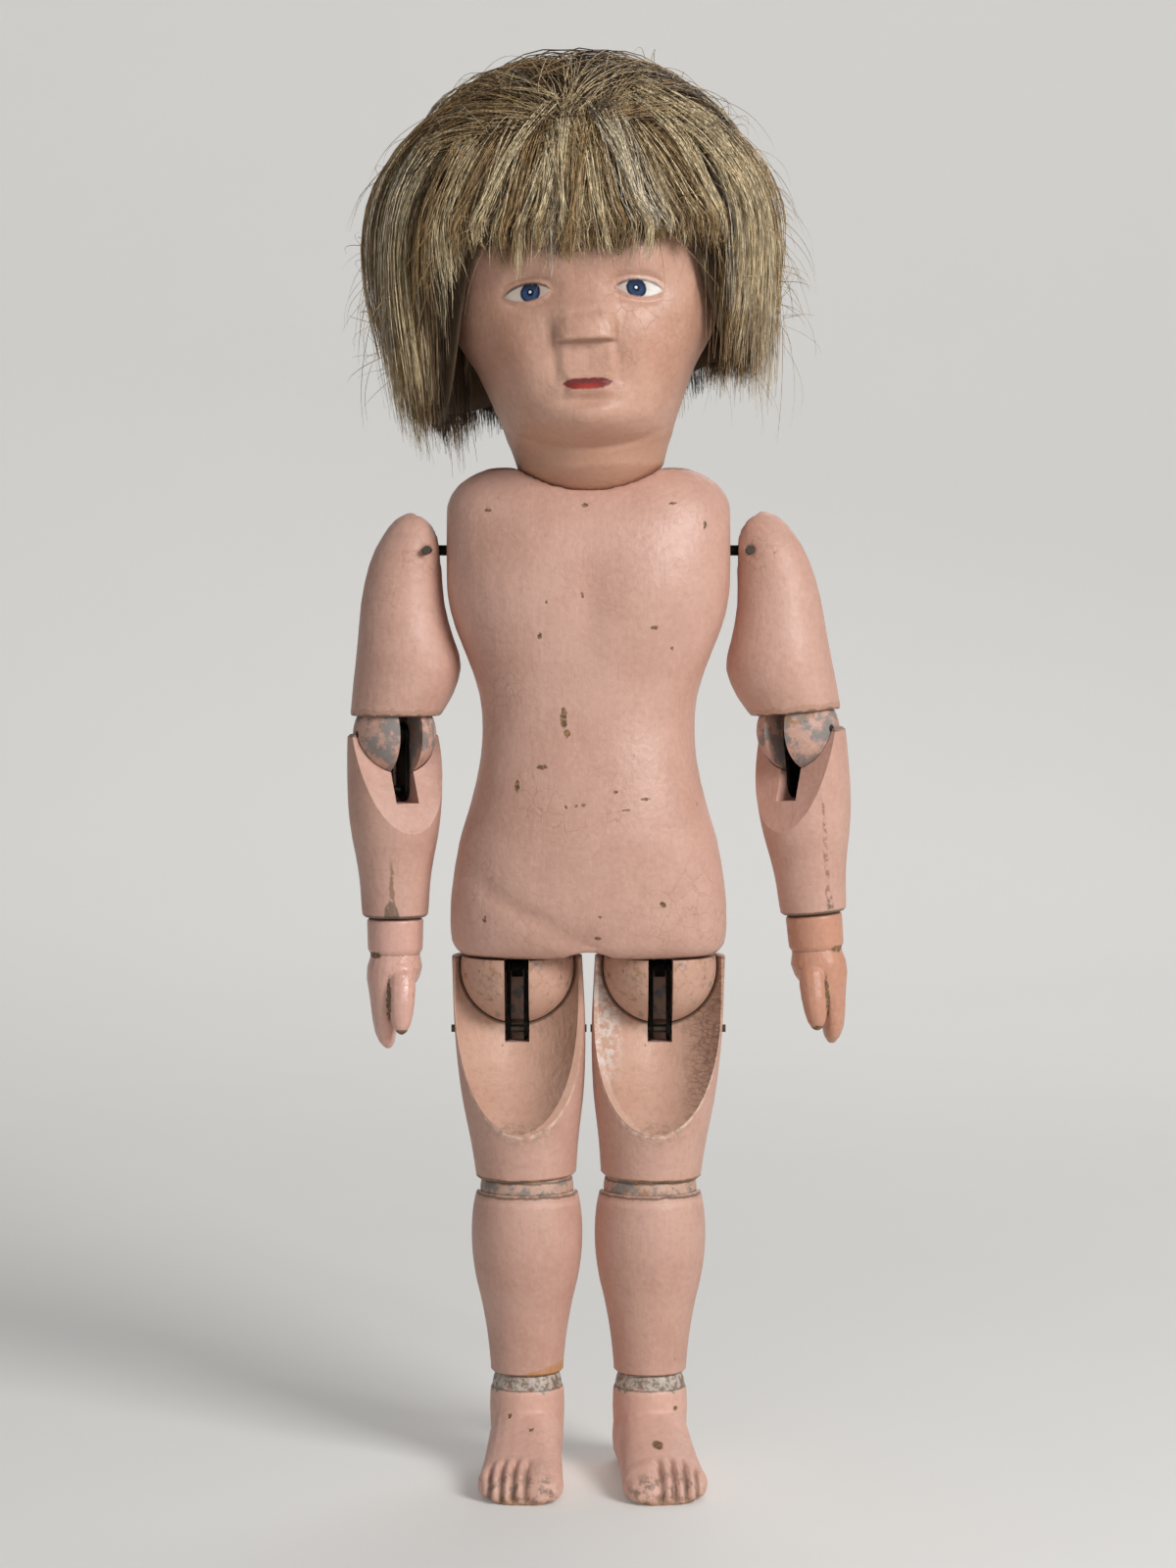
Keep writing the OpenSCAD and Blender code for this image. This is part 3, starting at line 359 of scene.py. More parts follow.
def spot_group():
    """One worn spot with a ragged edge at a place on the front."""
    if "Worn spot" in bpy.data.node_groups:
        return bpy.data.node_groups["Worn spot"]
    nodes, given, out = new_group("Worn spot", ("Place", "Centre", "Radii"), (), ("Mask",))
    warp = nodes.noise(given["Place"], 0.9, 3.0, 0.65, "Color")
    bent = nodes.vector("MULTIPLY_ADD", warp, (1.6, 0.0, 1.6), given["Place"])
    apart = nodes.vector("SUBTRACT", nodes.vector("SUBTRACT", bent, (0.8, 0.0, 0.8)), given["Centre"])
    far = nodes.vector("LENGTH", nodes.vector("DIVIDE", apart, given["Radii"]))
    nodes.feed(out["Mask"], nodes.step(far, 1.15, 0.75))
    return nodes.tree


def place_in_mm(nodes, centre=(0.0, 0.0, 0.0), turn=(0.0, 0.0, 0.0)):
    """Object coordinates in millimetres, seen from a piece's own frame."""
    coordinates = nodes.add("ShaderNodeTexCoord")
    mapping = nodes.add("ShaderNodeMapping", vector_type="TEXTURE")
    nodes.feed(mapping.inputs["Vector"], Value(nodes, coordinates.outputs["Object"]))
    mapping.inputs["Location"].default_value = [c / 1000 for c in centre]
    mapping.inputs["Rotation"].default_value = turn
    mapping.inputs["Scale"].default_value = (0.001, 0.001, 0.001)
    return Value(nodes, mapping.outputs["Vector"])


def new_material(name):
    material = bpy.data.materials.new(name)
    material.use_nodes = True
    nodes = Nodes(material.node_tree)
    return material, nodes, material.node_tree.nodes["Principled BSDF"]


def bumped(nodes, height, strength, distance, under=None):
    """Normal of a surface with a bump, on top of another bump's normal."""
    bump = nodes.add("ShaderNodeBump")
    nodes.feed(bump.inputs["Height"], height)
    bump.inputs["Strength"].default_value = strength
    bump.inputs["Distance"].default_value = distance
    if under:
        nodes.feed(bump.inputs["Normal"], under)
    return Value(nodes, bump.outputs["Normal"])


def painted_wood(
    name, base, deep, centre=(0.0, 0.0, 0.0), turn=(0.0, 0.0, 0.0), chips=1.0, bands=(), spots=(), layer=None,
    rough=0.4, relief=None
):
    """Old satin enamel over wood, with rim bands, worn spots and an extra layer of its own."""
    paint = bpy.context.scene.doll_paint
    material, nodes, shader = new_material(name)
    place = place_in_mm(nodes, centre, turn)
    age = nodes.group(enamel_group(), Place=place)
    colour = nodes.cover(base, deep, age["Mottle"], 0.75)
    shade = scaled(deep, 0.72)
    colour = nodes.cover(colour, shade, nodes.step(age["Grain"], 0.54, 0.78), 0.2)
    pale = tuple(min(1.0, 1.18 * c + 0.02) for c in base)
    colour = nodes.cover(colour, pale, nodes.step(age["Grain"], 0.44, 0.25), 0.15)
    colour = nodes.cover(colour, shade, nodes.step(age["Peel"], 0.52, 0.7), 0.16)
    colour = nodes.cover(colour, pale, nodes.step(age["Peel"], 0.48, 0.3), 0.18)
    colour = nodes.cover(colour, paint.bare_wood, age["Crazing"], 0.35)
    if layer:
        colour = layer(nodes, place, colour, age)
    dull = None
    if isinstance(colour, tuple):
        colour, dull = colour
    for level, width, waver, shade, strength in bands:
        mask = nodes.group(band_group(), Place=place, Level=level, Width=width, Waver=waver)["Mask"]
        colour = nodes.cover(colour, shade, mask, strength)
    worn = nodes.mix(nodes.blotch(place, 1.3, 0.4, 0.62, 3.0), paint.grime, paint.bare_wood)
    mask = nodes.math("MAXIMUM", age["Chips"], age["Scratches"] * 0.5)
    mask = nodes.math("MAXIMUM", mask, age["Specks"] * 0.8) * chips
    front = nodes.step(nodes.split(place)[1], 2.0, -2.0)
    for x, z, wide, high in spots:
        spot = nodes.group(spot_group(), Place=place, Centre=(x, 0.0, z), Radii=(wide, 1000.0, high))["Mask"]
        mask = nodes.math("MAXIMUM", mask, spot * front)
    colour = nodes.mix(mask, colour, worn)
    nodes.feed(shader.inputs["Base Color"], colour)
    nodes.feed(shader.inputs["Roughness"], age["Mottle"] * 0.1 + mask * 0.3 + age["Grain"] * 0.12 + rough)
    normal = bumped(nodes, relief(nodes, place), 1.0, 0.001) if relief else None
    normal = bumped(nodes, age["Height"] - mask * 0.6, 0.5, 0.0004, normal)
    nodes.feed(shader.inputs["Normal"], normal)
    shader.inputs["Specular IOR Level"].default_value = 0.5
    if dull:
        nodes.feed(shader.inputs["Specular IOR Level"], dull * -0.46 + 0.5)
    return material


def worn_ball(name, base, amount, centre, bands=()):
    """Ball whose enamel is rubbed down to grey primer and bare wood."""
    return painted_wood(
        name, base, scaled(base, 0.8), centre=centre, layer=partial(rubbed, amount), rough=0.5, bands=bands
    )


def old_steel(name, red, green, blue, rough, rusty=0.7):
    """Tarnished steel with rust freckles."""
    material, nodes, shader = new_material(name)
    place = place_in_mm(nodes)
    rust = nodes.blotch(place, 0.9, 0.5, 0.68, 4.0, 0.7)
    base = tint(red, green, blue)
    nodes.feed(shader.inputs["Base Color"], nodes.mix(rust * rusty, base, tint(88, 58, 36)))
    nodes.feed(shader.inputs["Metallic"], rust * -0.7 + 0.9)
    nodes.feed(shader.inputs["Roughness"], rust * 0.35 + rough)
    return material


def mohair(name, base):
    """Satin hair whose tone wanders from strand to strand."""
    wig = bpy.context.scene.doll_wig
    material, nodes, shader = new_material(name)
    place = place_in_mm(nodes, HEAD_CENTRE, HEAD_TURN)
    fine = nodes.noise(nodes.vector("MULTIPLY", place, (1.0, 1.0, 0.12)), 1.7, 3.0, 0.6)
    lock = nodes.noise(nodes.vector("MULTIPLY", place, (1.0, 1.0, 0.25)), 0.2, 3.0, 0.6)
    colour = nodes.mix(nodes.step(fine, 0.4, 0.6), scaled(base, 0.36), base)
    colour = nodes.cover(colour, wig.dark, nodes.step(lock, 0.5, 0.7), 0.5)
    colour = nodes.cover(colour, wig.light, nodes.step(lock, 0.46, 0.3), 0.4)
    nodes.feed(shader.inputs["Base Color"], colour)
    nodes.feed(shader.inputs["Roughness"], fine * 0.2 + 0.38)
    shader.inputs["Specular IOR Level"].default_value = 0.55
    return material


# Meshes

def link_object(name, data, body, slot, material, *nodes):
    obj = bpy.data.objects.new(name, data)
    bpy.context.scene.collection.objects.link(obj)
    data.materials.append(material)
    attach(obj, body)
    if nodes:
        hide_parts(*nodes)
    return obj


def mesh_from(bm, name):
    data = bpy.data.meshes.new(name)
    bm.to_mesh(data)
    bm.free()
    data.polygons.foreach_set("use_smooth", [True] * len(data.polygons))
    return data


def place_vertices(bm, points):
    for vertex, point in zip(bm.verts, points):
        vertex.co = point


def carved_copy(node, voxel, rounds):
    """Closed, evenly meshed copy of a solid with its edges softened as by sanding and paint."""
    data = frame["nodes"][node].data.copy()
    bm = bmesh.new()
    bm.from_mesh(data)
    bmesh.ops.remove_doubles(bm, verts=bm.verts, dist=0.00001)
    bm.to_mesh(data)
    bm.free()
    holder = bpy.data.objects.new(node + "_holder", data)
    bpy.context.scene.collection.objects.link(holder)
    remesh = holder.modifiers.new("Even mesh", "REMESH")
    remesh.mode = "VOXEL"
    remesh.voxel_size = voxel
    bpy.context.view_layer.update()
    even = bpy.data.meshes.new_from_object(holder.evaluated_get(bpy.context.evaluated_depsgraph_get()))
    bpy.data.objects.remove(holder)
    bm = bmesh.new()
    bm.from_mesh(even)
    for _ in range(rounds):
        bmesh.ops.smooth_vert(
            bm, verts=bm.verts, factor=0.5, use_axis_x=True, use_axis_y=True, use_axis_z=True
        )
    carved = mesh_from(bm, node + "_carved")
    carved.materials.clear()
    return carved


def mesh_places(data):
    """Places and normals of a mesh's vertices."""
    places = np.empty(len(data.vertices) * 3, dtype=np.float32)
    normals = np.empty(len(data.vertices) * 3, dtype=np.float32)
    data.vertices.foreach_get("co", places)
    data.vertices.foreach_get("normal", normals)
    return places.reshape(-1, 3).astype(float), normals.reshape(-1, 3).astype(float)


def push_out(data, places, normals, form):
    """Moves each vertex along its normal by a form in millimetres."""
    data.vertices.foreach_set("co", (places + normals * (form / 1000)[:, None]).ravel().astype(np.float32))
    data.update()


def carve_toes(data, centre, turn, side):
    """Cuts soft valleys between the toes of a foot and rounds the toes."""
    places, normals = mesh_places(data)
    away = 1000 * places - np.array(centre)
    across = side * (math.cos(turn) * away[:, 0] + math.sin(turn) * away[:, 1])
    ahead = math.sin(turn) * away[:, 0] - math.cos(turn) * away[:, 1]
    edges = np.array(TOE_EDGES)
    gap = np.abs(across[:, None] - edges).min(axis=1)
    inner = np.where(across < edges[-1], 4.0, 1.7)
    form = 0.6 * ease(gap / inner) - bell(gap, 0.8)
    push_out(data, places, normals, form * ease((ahead - 29) / 6) * ease((away[:, 2] - 0.3) / 1.2))


def carve_torso(data):
    """Gives the torso's front its soft chest, belly and groin."""
    places, normals = mesh_places(data)
    x, z = 1000 * places[:, 0] - STANCE_X, 1000 * places[:, 2]
    side = np.abs(x)
    form = 0.9 * bell(side - 19, 12) * bell(z - 252, 15) - 0.5 * bell(x, 4) * bell(z - 252, 18)
    form = form + 0.9 * bell(x, 22) * bell(z - 192, 22)
    form = form - 0.8 * bell(z - 152 - 0.588 * side, 3.6) * ease((36 - side) / 8)
    form = form - 0.8 * bell(x, 3.0) * ease((162 - z) / 10)
    push_out(data, places, normals, form * ease((-normals[:, 1] - 0.2) / 0.5))


def paint_node(node, material):
    slots = frame["nodes"][node].data.materials
    slots.clear()
    slots.append(material)


# Shape of the head, in millimetres from the middle of the neck ball

HEAD_ROWS = np.array([
    (0, 0.53, 0.557, 0.484), (0.031, 0.554, 0.59, 0.512), (0.055, 0.574, 0.65, 0.535),
    (0.079, 0.6, 0.77, 0.561), (0.108, 0.623, 0.88, 0.596), (0.136, 0.651, 0.933, 0.634),
    (0.175, 0.692, 0.95, 0.685), (0.222, 0.744, 0.951, 0.751), (0.27, 0.8, 0.957, 0.817),
    (0.308, 0.862, 0.968, 0.869), (0.346, 0.92, 0.978, 0.911), (0.385, 0.959, 0.984, 0.944),
    (0.423, 0.985, 0.981, 0.97), (0.48, 0.997, 0.984, 0.993), (0.547, 1, 1, 1), (0.614, 0.99, 0.997, 0.991),
    (0.69, 0.956, 0.957, 0.953), (0.766, 0.887, 0.865, 0.883), (0.843, 0.774, 0.73, 0.77),
    (0.909, 0.623, 0.562, 0.615), (0.957, 0.451, 0.389, 0.441), (0.986, 0.269, 0.227, 0.263),
])


def row_value(rows, t, column):
    """Smooth value of one column of a table at the keys t."""
    keys, values = rows[:, 0], rows[:, column]
    last = len(keys) - 1
    before = np.maximum(np.arange(len(keys)) - 1, 0)
    after = np.minimum(np.arange(len(keys)) + 1, last)
    slopes = (values[after] - values[before]) / (keys[after] - keys[before])
    i = np.clip(np.searchsorted(keys, t) - 1, 0, last - 1)
    h = keys[i + 1] - keys[i]
    s = (t - keys[i]) / h
    return (
        values[i] * (1 + 2 * s) * (1 - s) ** 2 + slopes[i] * h * s * (1 - s) ** 2
        + values[i + 1] * s * s * (3 - 2 * s) + slopes[i + 1] * h * s * s * (s - 1)
    )


def ease(value):
    s = np.clip(value, 0.0, 1.0)
    return s * s * (3 - 2 * s)


def xyz(*parts):
    return np.stack(parts, axis=-1)


def unit(vectors):
    return vectors / np.linalg.norm(vectors, axis=-1, keepdims=True)


def bell(value, width):
    return np.exp(-((value / width) ** 2))


def skull(t, phi):
    """Plain head without a face at height shares t and angles phi from the front."""
    e = 1 - 0.12 * ease(t / 0.16)
    s, c = np.sin(phi), np.cos(phi)
    low = np.minimum(t, 0.986)
    close = np.sqrt(np.clip((1 - t) / 0.014, 0, 1))
    x = row_value(HEAD_ROWS, low, 1) * HEAD_HALF * np.sign(s) * np.abs(s) ** e
    front = -row_value(HEAD_ROWS, low, 2) * HEAD_FRONT
    back = row_value(HEAD_ROWS, low, 3) * HEAD_BACK
    y = np.where(c > 0, front, back) * np.abs(c) ** e
    return xyz(x * close, y * close, CHIN_Z + t * HEAD_H)


def face_relief(x, z):
    """How far the carved face stands out of the plain head."""
    side = np.abs(x)
    up = (z - NOSE_Z) / 14.2
    nose = 4.5 * np.where(up < 0, ease(1 + up * 10), 1 - 0.92 * ease(0.95 * up))
    nose = nose * np.where(up > 1, ease(2 - up), 1)
    half = 8.2 * (1 - 0.1 * ease(up))
    soft = 1.6 + 3.0 * ease(up) + 0.9 * (x < 0)
    nose = nose * ease((half + soft - side) / (2 * soft)) * (1 - 0.34 * np.minimum(side / half, 1) ** 2)
    nose = nose - 0.45 * bell(z - NOSE_Z - 7.2, 1.3) * ease((6.5 - side) / 4)
    nose = nose - 0.3 * bell(side - 5.6, 0.8) * bell(z - NOSE_Z - 2.0, 1.5)
    dx = side - EYE_X
    dz = z - EYE_Z + EYE_TILT * dx
    eyes = -2.4 * bell(dx, 7.8) * bell(dz - 0.4, 4.8) - 0.4 * bell(side - 8.8, 2.2) * bell(dz - 0.5, 4.0)
    eyes = eyes + 0.9 * np.sqrt(np.clip(1 - (dx / 6.9) ** 2 - (dz / 3.1) ** 2, 0, 1))
    eyes = eyes - 0.5 * bell(dz - 4.3 + 0.04 * dx * dx, 0.7) * ease((7.5 - np.abs(dx)) / 3)
    eyes = eyes - 0.35 * bell(dz + 3.4 - 0.03 * dx * dx, 0.8) * ease((7 - np.abs(dx)) / 3)
    box = 0.5 * ease((8.4 - side) / 2.4) * ease((z - 8.3) / 1.6) * ease((18.6 - z) / 1.2)
    box = box - 0.45 * bell(side - 8.8, 1.4) * ease((z - 4.5) / 3) * ease((20.5 - z) / 2)
    box = box - 0.3 * bell(x, 1.5) * ease((z - 9) / 1.5) * ease((18 - z) / 2)
    lips = 0.7 * ease((7.0 - side) / 2) * bell(z - MOUTH_Z - 1.7, 1.4)
    lips = lips + ease((6.8 - side) / 2.5) * bell(z - MOUTH_Z + 1.8, 1.6)
    lips = lips - 0.5 * bell(z - MOUTH_Z - 0.4, 0.5) * ease((7.2 - side) / 1.5)
    chin = -bell(x, 7.5) * bell(z - 1.2, 1.5) + 2.1 * bell(x, 9.0) * bell(z + 4.2, 4.2)
    chin = chin - 0.9 * bell(z + 11.2 - 0.011 * x * x, 1.0) * ease((27 - side) / 6)
    cheek = 1.9 * bell(side - 19, 9) * bell(z - 14, 8.5) + 0.8 * bell(side - 14, 8) * bell(z - 41, 3.2)
    fold = -0.3 * bell(side - 11.5 + 0.25 * (z - 8), 2.4) * ease((z - 1) / 4) * ease((16 - z) / 4)
    return nose + eyes + box + lips + chin + cheek + fold


def head_to_doll(points):
    """Head places in millimetres to places of the doll in metres."""
    c, s = math.cos(-HEAD_LEAN), math.sin(-HEAD_LEAN)
    x = c * points[..., 0] + s * points[..., 2] + STANCE_X
    z = -s * points[..., 0] + c * points[..., 2] + NECK_Z
    return xyz(x, points[..., 1] + NECK_Y, z) / 1000


def face_paint(nodes, place, colour, age):
    """Eyes, lips and blush of the face, with painted shade at the chin, nose and inner eye whites and painted
    highlights in the eyes.
    """
    paint = bpy.context.scene.doll_paint
    x, y, z = nodes.split(place)
    front = nodes.step(y, -12.0, -18.0)
    # Painted shade: the face darkens towards the chin and below it
    colour = nodes.cover(colour, tint(180, 132, 106), nodes.step(z, 0.0, -13.0), 0.6)
    side = abs(x)
    cheek = nodes.vector("LENGTH", nodes.combine((side - 20.0) / 11.0, (z - 14.0) / 9.0))
    colour = nodes.cover(colour, tint(214, 138, 118), nodes.step(cheek, 1.2, 0.1), 0.12)
    dull = 0.0
    # Each eye has its middle, gaze, iris darkness and white. The eye at +x has a brighter white, a painted
    # highlight, and a darker iris, painted shade that offsets the lamp's highlight on it
    eyes = ((-EYE_X, 0.8, 1.0, tint(198, 184, 170)), (EYE_X, -0.9, 0.7, tint(224, 218, 210)))
    for middle, gaze, dim, clear in eyes:
        outward = 1.0 if middle > 0 else -1.0
        dx = x - middle
        dz = z - EYE_Z + dx * (EYE_TILT * outward)
        rough = (nodes.noise(place, 1.1, 3.0) - 0.5) * 0.5
        bow = 1.0 - abs(dx / 6.8) ** 2.2
        upper = dz - bow * 2.55 + rough
        lower = dz + bow * 2.15 + rough
        inside = nodes.step(upper, 0.25, -0.25) * nodes.step(lower, -0.3, 0.3) * front
        # The inner part of each white is darker: painted shade beside the nose
        outer = nodes.step(dx * outward, -2.0, 4.0)
        white = nodes.mix(outer, tint(188, 168, 154), clear)
        white = nodes.mix(nodes.step(abs(dx), 5.0, 6.8), white, tint(202, 160, 140))
        far = nodes.vector("LENGTH", nodes.combine(dx - gaze, dz - 0.15)) + rough
        ring = nodes.mix(nodes.step(far, 1.7, 2.7), scaled(paint.iris, dim), tint(26, 34, 52))
        ring = nodes.cover(ring, tint(34, 40, 56), nodes.step(dz, 0.2, 2.0), 0.7)
        ring = nodes.mix(nodes.step(far, 1.25, 0.7), ring, tint(24, 28, 42))
        disc = nodes.step(far, 2.95, 2.55)
        eye = nodes.mix(disc, white, ring)
        dull = nodes.math("MAXIMUM", dull, inside * disc)
        glint = nodes.vector("LENGTH", nodes.combine(dx - (gaze - 0.05), dz - 0.3))
        eye = nodes.mix(nodes.step(glint, 0.5, 0.3), eye, (0.8, 0.82, 0.84))
        colour = nodes.mix(inside, colour, eye)
        reach = nodes.step(abs(dx), 7.2, 5.0) * front
        lid = nodes.step(abs(upper), 0.6, 0.15) * reach
        colour = nodes.cover(colour, tint(58, 42, 38), lid, 0.8)
        low = nodes.step(abs(lower), 0.5, 0.1) * reach
        colour = nodes.cover(colour, tint(150, 100, 84), low, 0.3)
        fold = nodes.step(abs(dz - bow * 1.4 - 2.6), 0.7, 0.1) * reach
        colour = nodes.cover(colour, tint(132, 88, 70), fold, 0.38)
    ragged = nodes.noise(place, 0.9, 3.0, 0.6) - 0.5
    dz = z - MOUTH_Z + ragged
    bow = 1.0 - abs(x / 7.0) ** 4.4
    upper = dz - bow * 1.35
    lower = dz + bow * 1.7
    lips = nodes.step(upper, 0.25, -0.3) * nodes.step(lower, -0.25, 0.35) * front
    bright = nodes.step(side, 4.6, 0.8) * nodes.step(dz, 0.3, -0.7)
    red = nodes.mix(bright, scaled(paint.lips, 0.5), paint.lips)
    red = nodes.cover(red, tint(60, 20, 20), nodes.step(abs(dz - 0.4), 0.5, 0.1), 0.45)
    colour = nodes.cover(colour, red, lips, 0.94)
    # Painted shade in the creases beside the nose
    crease = nodes.step(abs(side - 8.7), 1.1, 0.1) * nodes.step(z, NOSE_Z - 8.0, NOSE_Z)
    crease = crease * nodes.step(z, NOSE_Z + 9.0, NOSE_Z + 2.0) * front
    colour = nodes.cover(colour, tint(114, 76, 58), crease, 0.3)
    # Painted shade: a dark line under the nose
    under = abs(ragged * 0.6 + z - (NOSE_Z - 0.9))
    under = nodes.step(under, 0.8, 0.1) * nodes.step(side, 8.6, 7.2)
    colour = nodes.cover(colour, tint(106, 70, 54), under * front, 0.4)
    return colour, dull


# Shape of the wig

FRINGE, RIGHT_HEM, LEFT_HEM, BACK_HEM = 0.565, 0.135, 0.255, 0.19
WIG_MIDDLE = CHIN_Z + 0.53 * HEAD_H


def hem(phi):
    a = np.degrees(np.abs(phi))
    low = np.where(phi < 0, RIGHT_HEM, LEFT_HEM)
    side = FRINGE + (low - FRINGE) * ease((a - 38) / 30)
    return side + (BACK_HEM - side) * ease((a - 110) / 60)


def wig_depth(phi):
    a = np.degrees(np.abs(phi))
    side = np.where(phi < 0, 22.0, 18.0)
    behind = ease((a - 100) / 70)
    return (7.0 + (side - 7.0) * ease((a - 20) / 55)) * (1 - behind) + 12.0 * behind


def wig_place(t, phi, layer):
    """Place in the wig at height share t, angle phi and layer 0 at the head to 1 outside."""
    p = skull(np.clip(t, 0.53, 0.99), phi)
    z = CHIN_Z + t * HEAD_H
    rise = np.maximum(z - WIG_MIDDLE, 0)
    out = xyz(p[..., 0], p[..., 1], rise)
    out = unit(out)
    lift = out[..., 2] ** 2
    deep = 1.3 + layer * (13.2 * lift + wig_depth(phi) * (1 - lift))
    return xyz(p[..., 0], p[..., 1], z) + out * deep[..., None]


def wig_along(direction, layer):
    """Place on a layer of the wig in a direction from its middle."""
    phi = np.arctan2(direction[..., 0], -direction[..., 1])
    rise = np.arcsin(np.clip(direction[..., 2], -1, 1))
    low, high = np.full(phi.shape, 0.5), np.full(phi.shape, 0.99)
    for _ in range(16):
        t = (low + high) / 2
        p = wig_place(t, phi, layer)
        steep = np.arctan2(p[..., 2] - WIG_MIDDLE, np.hypot(p[..., 0], p[..., 1]))
        low = np.where(steep < rise, t, low)
        high = np.where(steep < rise, high, t)
    p = wig_place((low + high) / 2, phi, layer)
    middle = np.array([0, 0, WIG_MIDDLE])
    reach = np.linalg.norm(p - middle, axis=-1)
    return middle + direction * reach[..., None]


def seam_direction(along, rise):
    """Direction to a place at an angle along the crown seam and at a rise from the front."""
    return xyz(np.sin(along), -np.cos(along) * np.cos(rise), np.cos(along) * np.sin(rise))


def strand_paths(rng, count, low, high, inner, outer, slope, jag, sway, steps=12):
    """Strands in locks that fan out from the crown seam over the wig and hang down to a ragged hem."""
    number = max(6, count // 38)
    centre = rng.uniform(low, high, number)
    width = rng.uniform(0.5, 3.0, number)
    lock = rng.integers(0, number, count)
    loose = rng.random(count) < 0.38
    spread = np.where(loose, rng.normal(0, 4.0, count), rng.normal(0, 1, count) * width[lock])
    lean = rng.normal(0, sway, number)[lock] + np.where(loose, rng.normal(0, 4.0, count), 0)
    middle = (centre + 180) % 360 - 180
    phi = np.radians(np.clip(middle[lock] + spread, -180, 180))
    flare = np.where(np.abs(middle[lock]) < 64, 1.15, 1.0)
    tip = np.radians(middle[lock] * flare + np.where(loose, 1.0, 0.25) * spread + lean)
    layer = np.clip(rng.uniform(inner, outer, count) + rng.normal(0, 0.13, number)[lock], 0.1, 1.08)
    turn = np.degrees(np.abs(phi))
    behind = ease((turn - 95) / 40)
    along = np.sign(phi) * np.radians(0.4 * np.where(turn < 115, turn, 2.0 * (180 - turn)))
    along = along + rng.normal(0, 0.06, number)[lock] + rng.normal(0, 0.05, count)
    rise = np.radians(51 + 27 * ease(turn / 100) + 34 * behind + rng.normal(0, 3.0, count))
    start = seam_direction(along, rise)
    bend = np.radians(13.0)
    share = np.where(turn < 64, 0.7, 0.3)
    root, phi = phi, phi + share * (tip - phi)
    end = xyz(np.cos(bend) * np.sin(phi), -np.cos(bend) * np.cos(phi), np.full(count, np.sin(bend)))
    angle = np.arccos(np.clip((start * end).sum(-1), -1, 1))[:, None]
    over = steps // 2 + 1
    s = np.linspace(0, 1, over)[None, :]
    way = np.sin((1 - s) * angle)[..., None] * start[:, None] + np.sin(s * angle)[..., None] * end[:, None]
    way = unit(way / np.sin(angle)[..., None])
    upper = wig_along(way, layer[:, None] * (0.7 + 0.3 * ease(s * 2.0)))
    first = (upper[:, -1, 2] - CHIN_Z) / HEAD_H
    last = hem(root) + slope * layer ** 2 + rng.normal(0, jag, number)[lock]
    last = last + rng.normal(0, 0.4 * jag + 0.005, count)
    last = np.minimum(last, first - 0.05)
    down = np.linspace(0, 1, steps - over + 1)[None, 1:]
    t = first[:, None] + (last - first)[:, None] * down
    swing = phi[:, None] + (tip - phi)[:, None] * down ** 1.3
    lower = wig_place(t, swing, layer[:, None] * (1 - 0.2 * down ** 2))
    path = np.concatenate([upper, lower], axis=1)
    for _ in range(3):
        path[:, 1:-1] = 0.5 * path[:, 1:-1] + 0.25 * (path[:, :-2] + path[:, 2:])
    u = np.linspace(0, 1, path.shape[1])[None, :]
    tangent = xyz(np.cos(phi), np.sin(phi), 0 * phi)[:, None]
    outward = xyz(np.sin(phi), -np.cos(phi), 0 * phi)[:, None]
    pace = rng.uniform(4, 9, number)[lock][:, None] * u + rng.uniform(0, 6.28, number)[lock][:, None]
    wave = np.sin(pace) * rng.normal(0, 0.8, number)[lock][:, None] * u
    pace = u * rng.uniform(3, 8, (count, 1)) + rng.uniform(0, 6.28, (count, 1))
    wave = wave + np.sin(pace) * rng.normal(0, 0.9, (count, 1)) * u
    puff = np.abs(rng.normal(0, 0.5, (count, 1))) * u ** 2
    puff = puff + rng.normal(0, 0.8, number)[lock][:, None] * np.sin(3.1 * u)
    path = path + tangent * wave[..., None] + outward * puff[..., None]
    level = np.clip((path[..., 2] - CHIN_Z) / HEAD_H, 0.05, 0.985)
    keep = skull(level, np.arctan2(path[..., 0], -path[..., 1]))
    need = np.hypot(keep[..., 0], keep[..., 1]) + 0.6
    flat = np.maximum(np.hypot(path[..., 0], path[..., 1]), 0.001)
    grow = np.where(path[..., 2] < WIG_MIDDLE + 30, np.maximum(need / flat, 1.0), 1.0)
    path[..., 0] *= grow
    path[..., 1] *= grow
    return path


def crown_paths(rng, count):
    """Strands that sweep from the seam over the crown to the sides and the back."""
    number = max(6, count // 30)
    lock = rng.integers(0, number, count)
    along = np.radians(rng.uniform(-44, 44, number)[lock] + rng.normal(0, 1.5, count))
    rise = np.radians(np.maximum(rng.uniform(44, 128, number), 50)[lock] + rng.normal(0, 2.5, count))
    start = seam_direction(along, rise)
    sway = xyz(rng.normal(0, 0.3, number), np.abs(rng.normal(0.5, 0.3, number)), rng.normal(0, 0.15, number))
    aim = sway[lock] + rng.normal(0, 0.1, (count, 3))
    aim[:, 0] += 0.9 * np.tanh(along / 0.22) + rng.normal(0, 0.4, count)
    aim = aim - start * (aim * start).sum(-1, keepdims=True)
    aim = unit(aim)
    u = np.linspace(0, 1, 7)[None, :, None]
    angle = np.radians(rng.uniform(18, 50, (count, 1, 1)))
    way = start[:, None] * np.cos(angle * u) + aim[:, None] * np.sin(angle * u)
    layer = rng.uniform(0.45, 0.84, (count, 1))
    layer = layer + 0.05 * np.sin(4 * u[..., 0] + rng.uniform(0, 6.28, number)[lock][:, None])
    path = wig_along(way, layer)
    path = path + rng.normal(0, 0.12, path.shape)
    return path + way * np.abs(rng.normal(0, 0.6, (count, 1, 1))) * np.sin(3.1 * u)


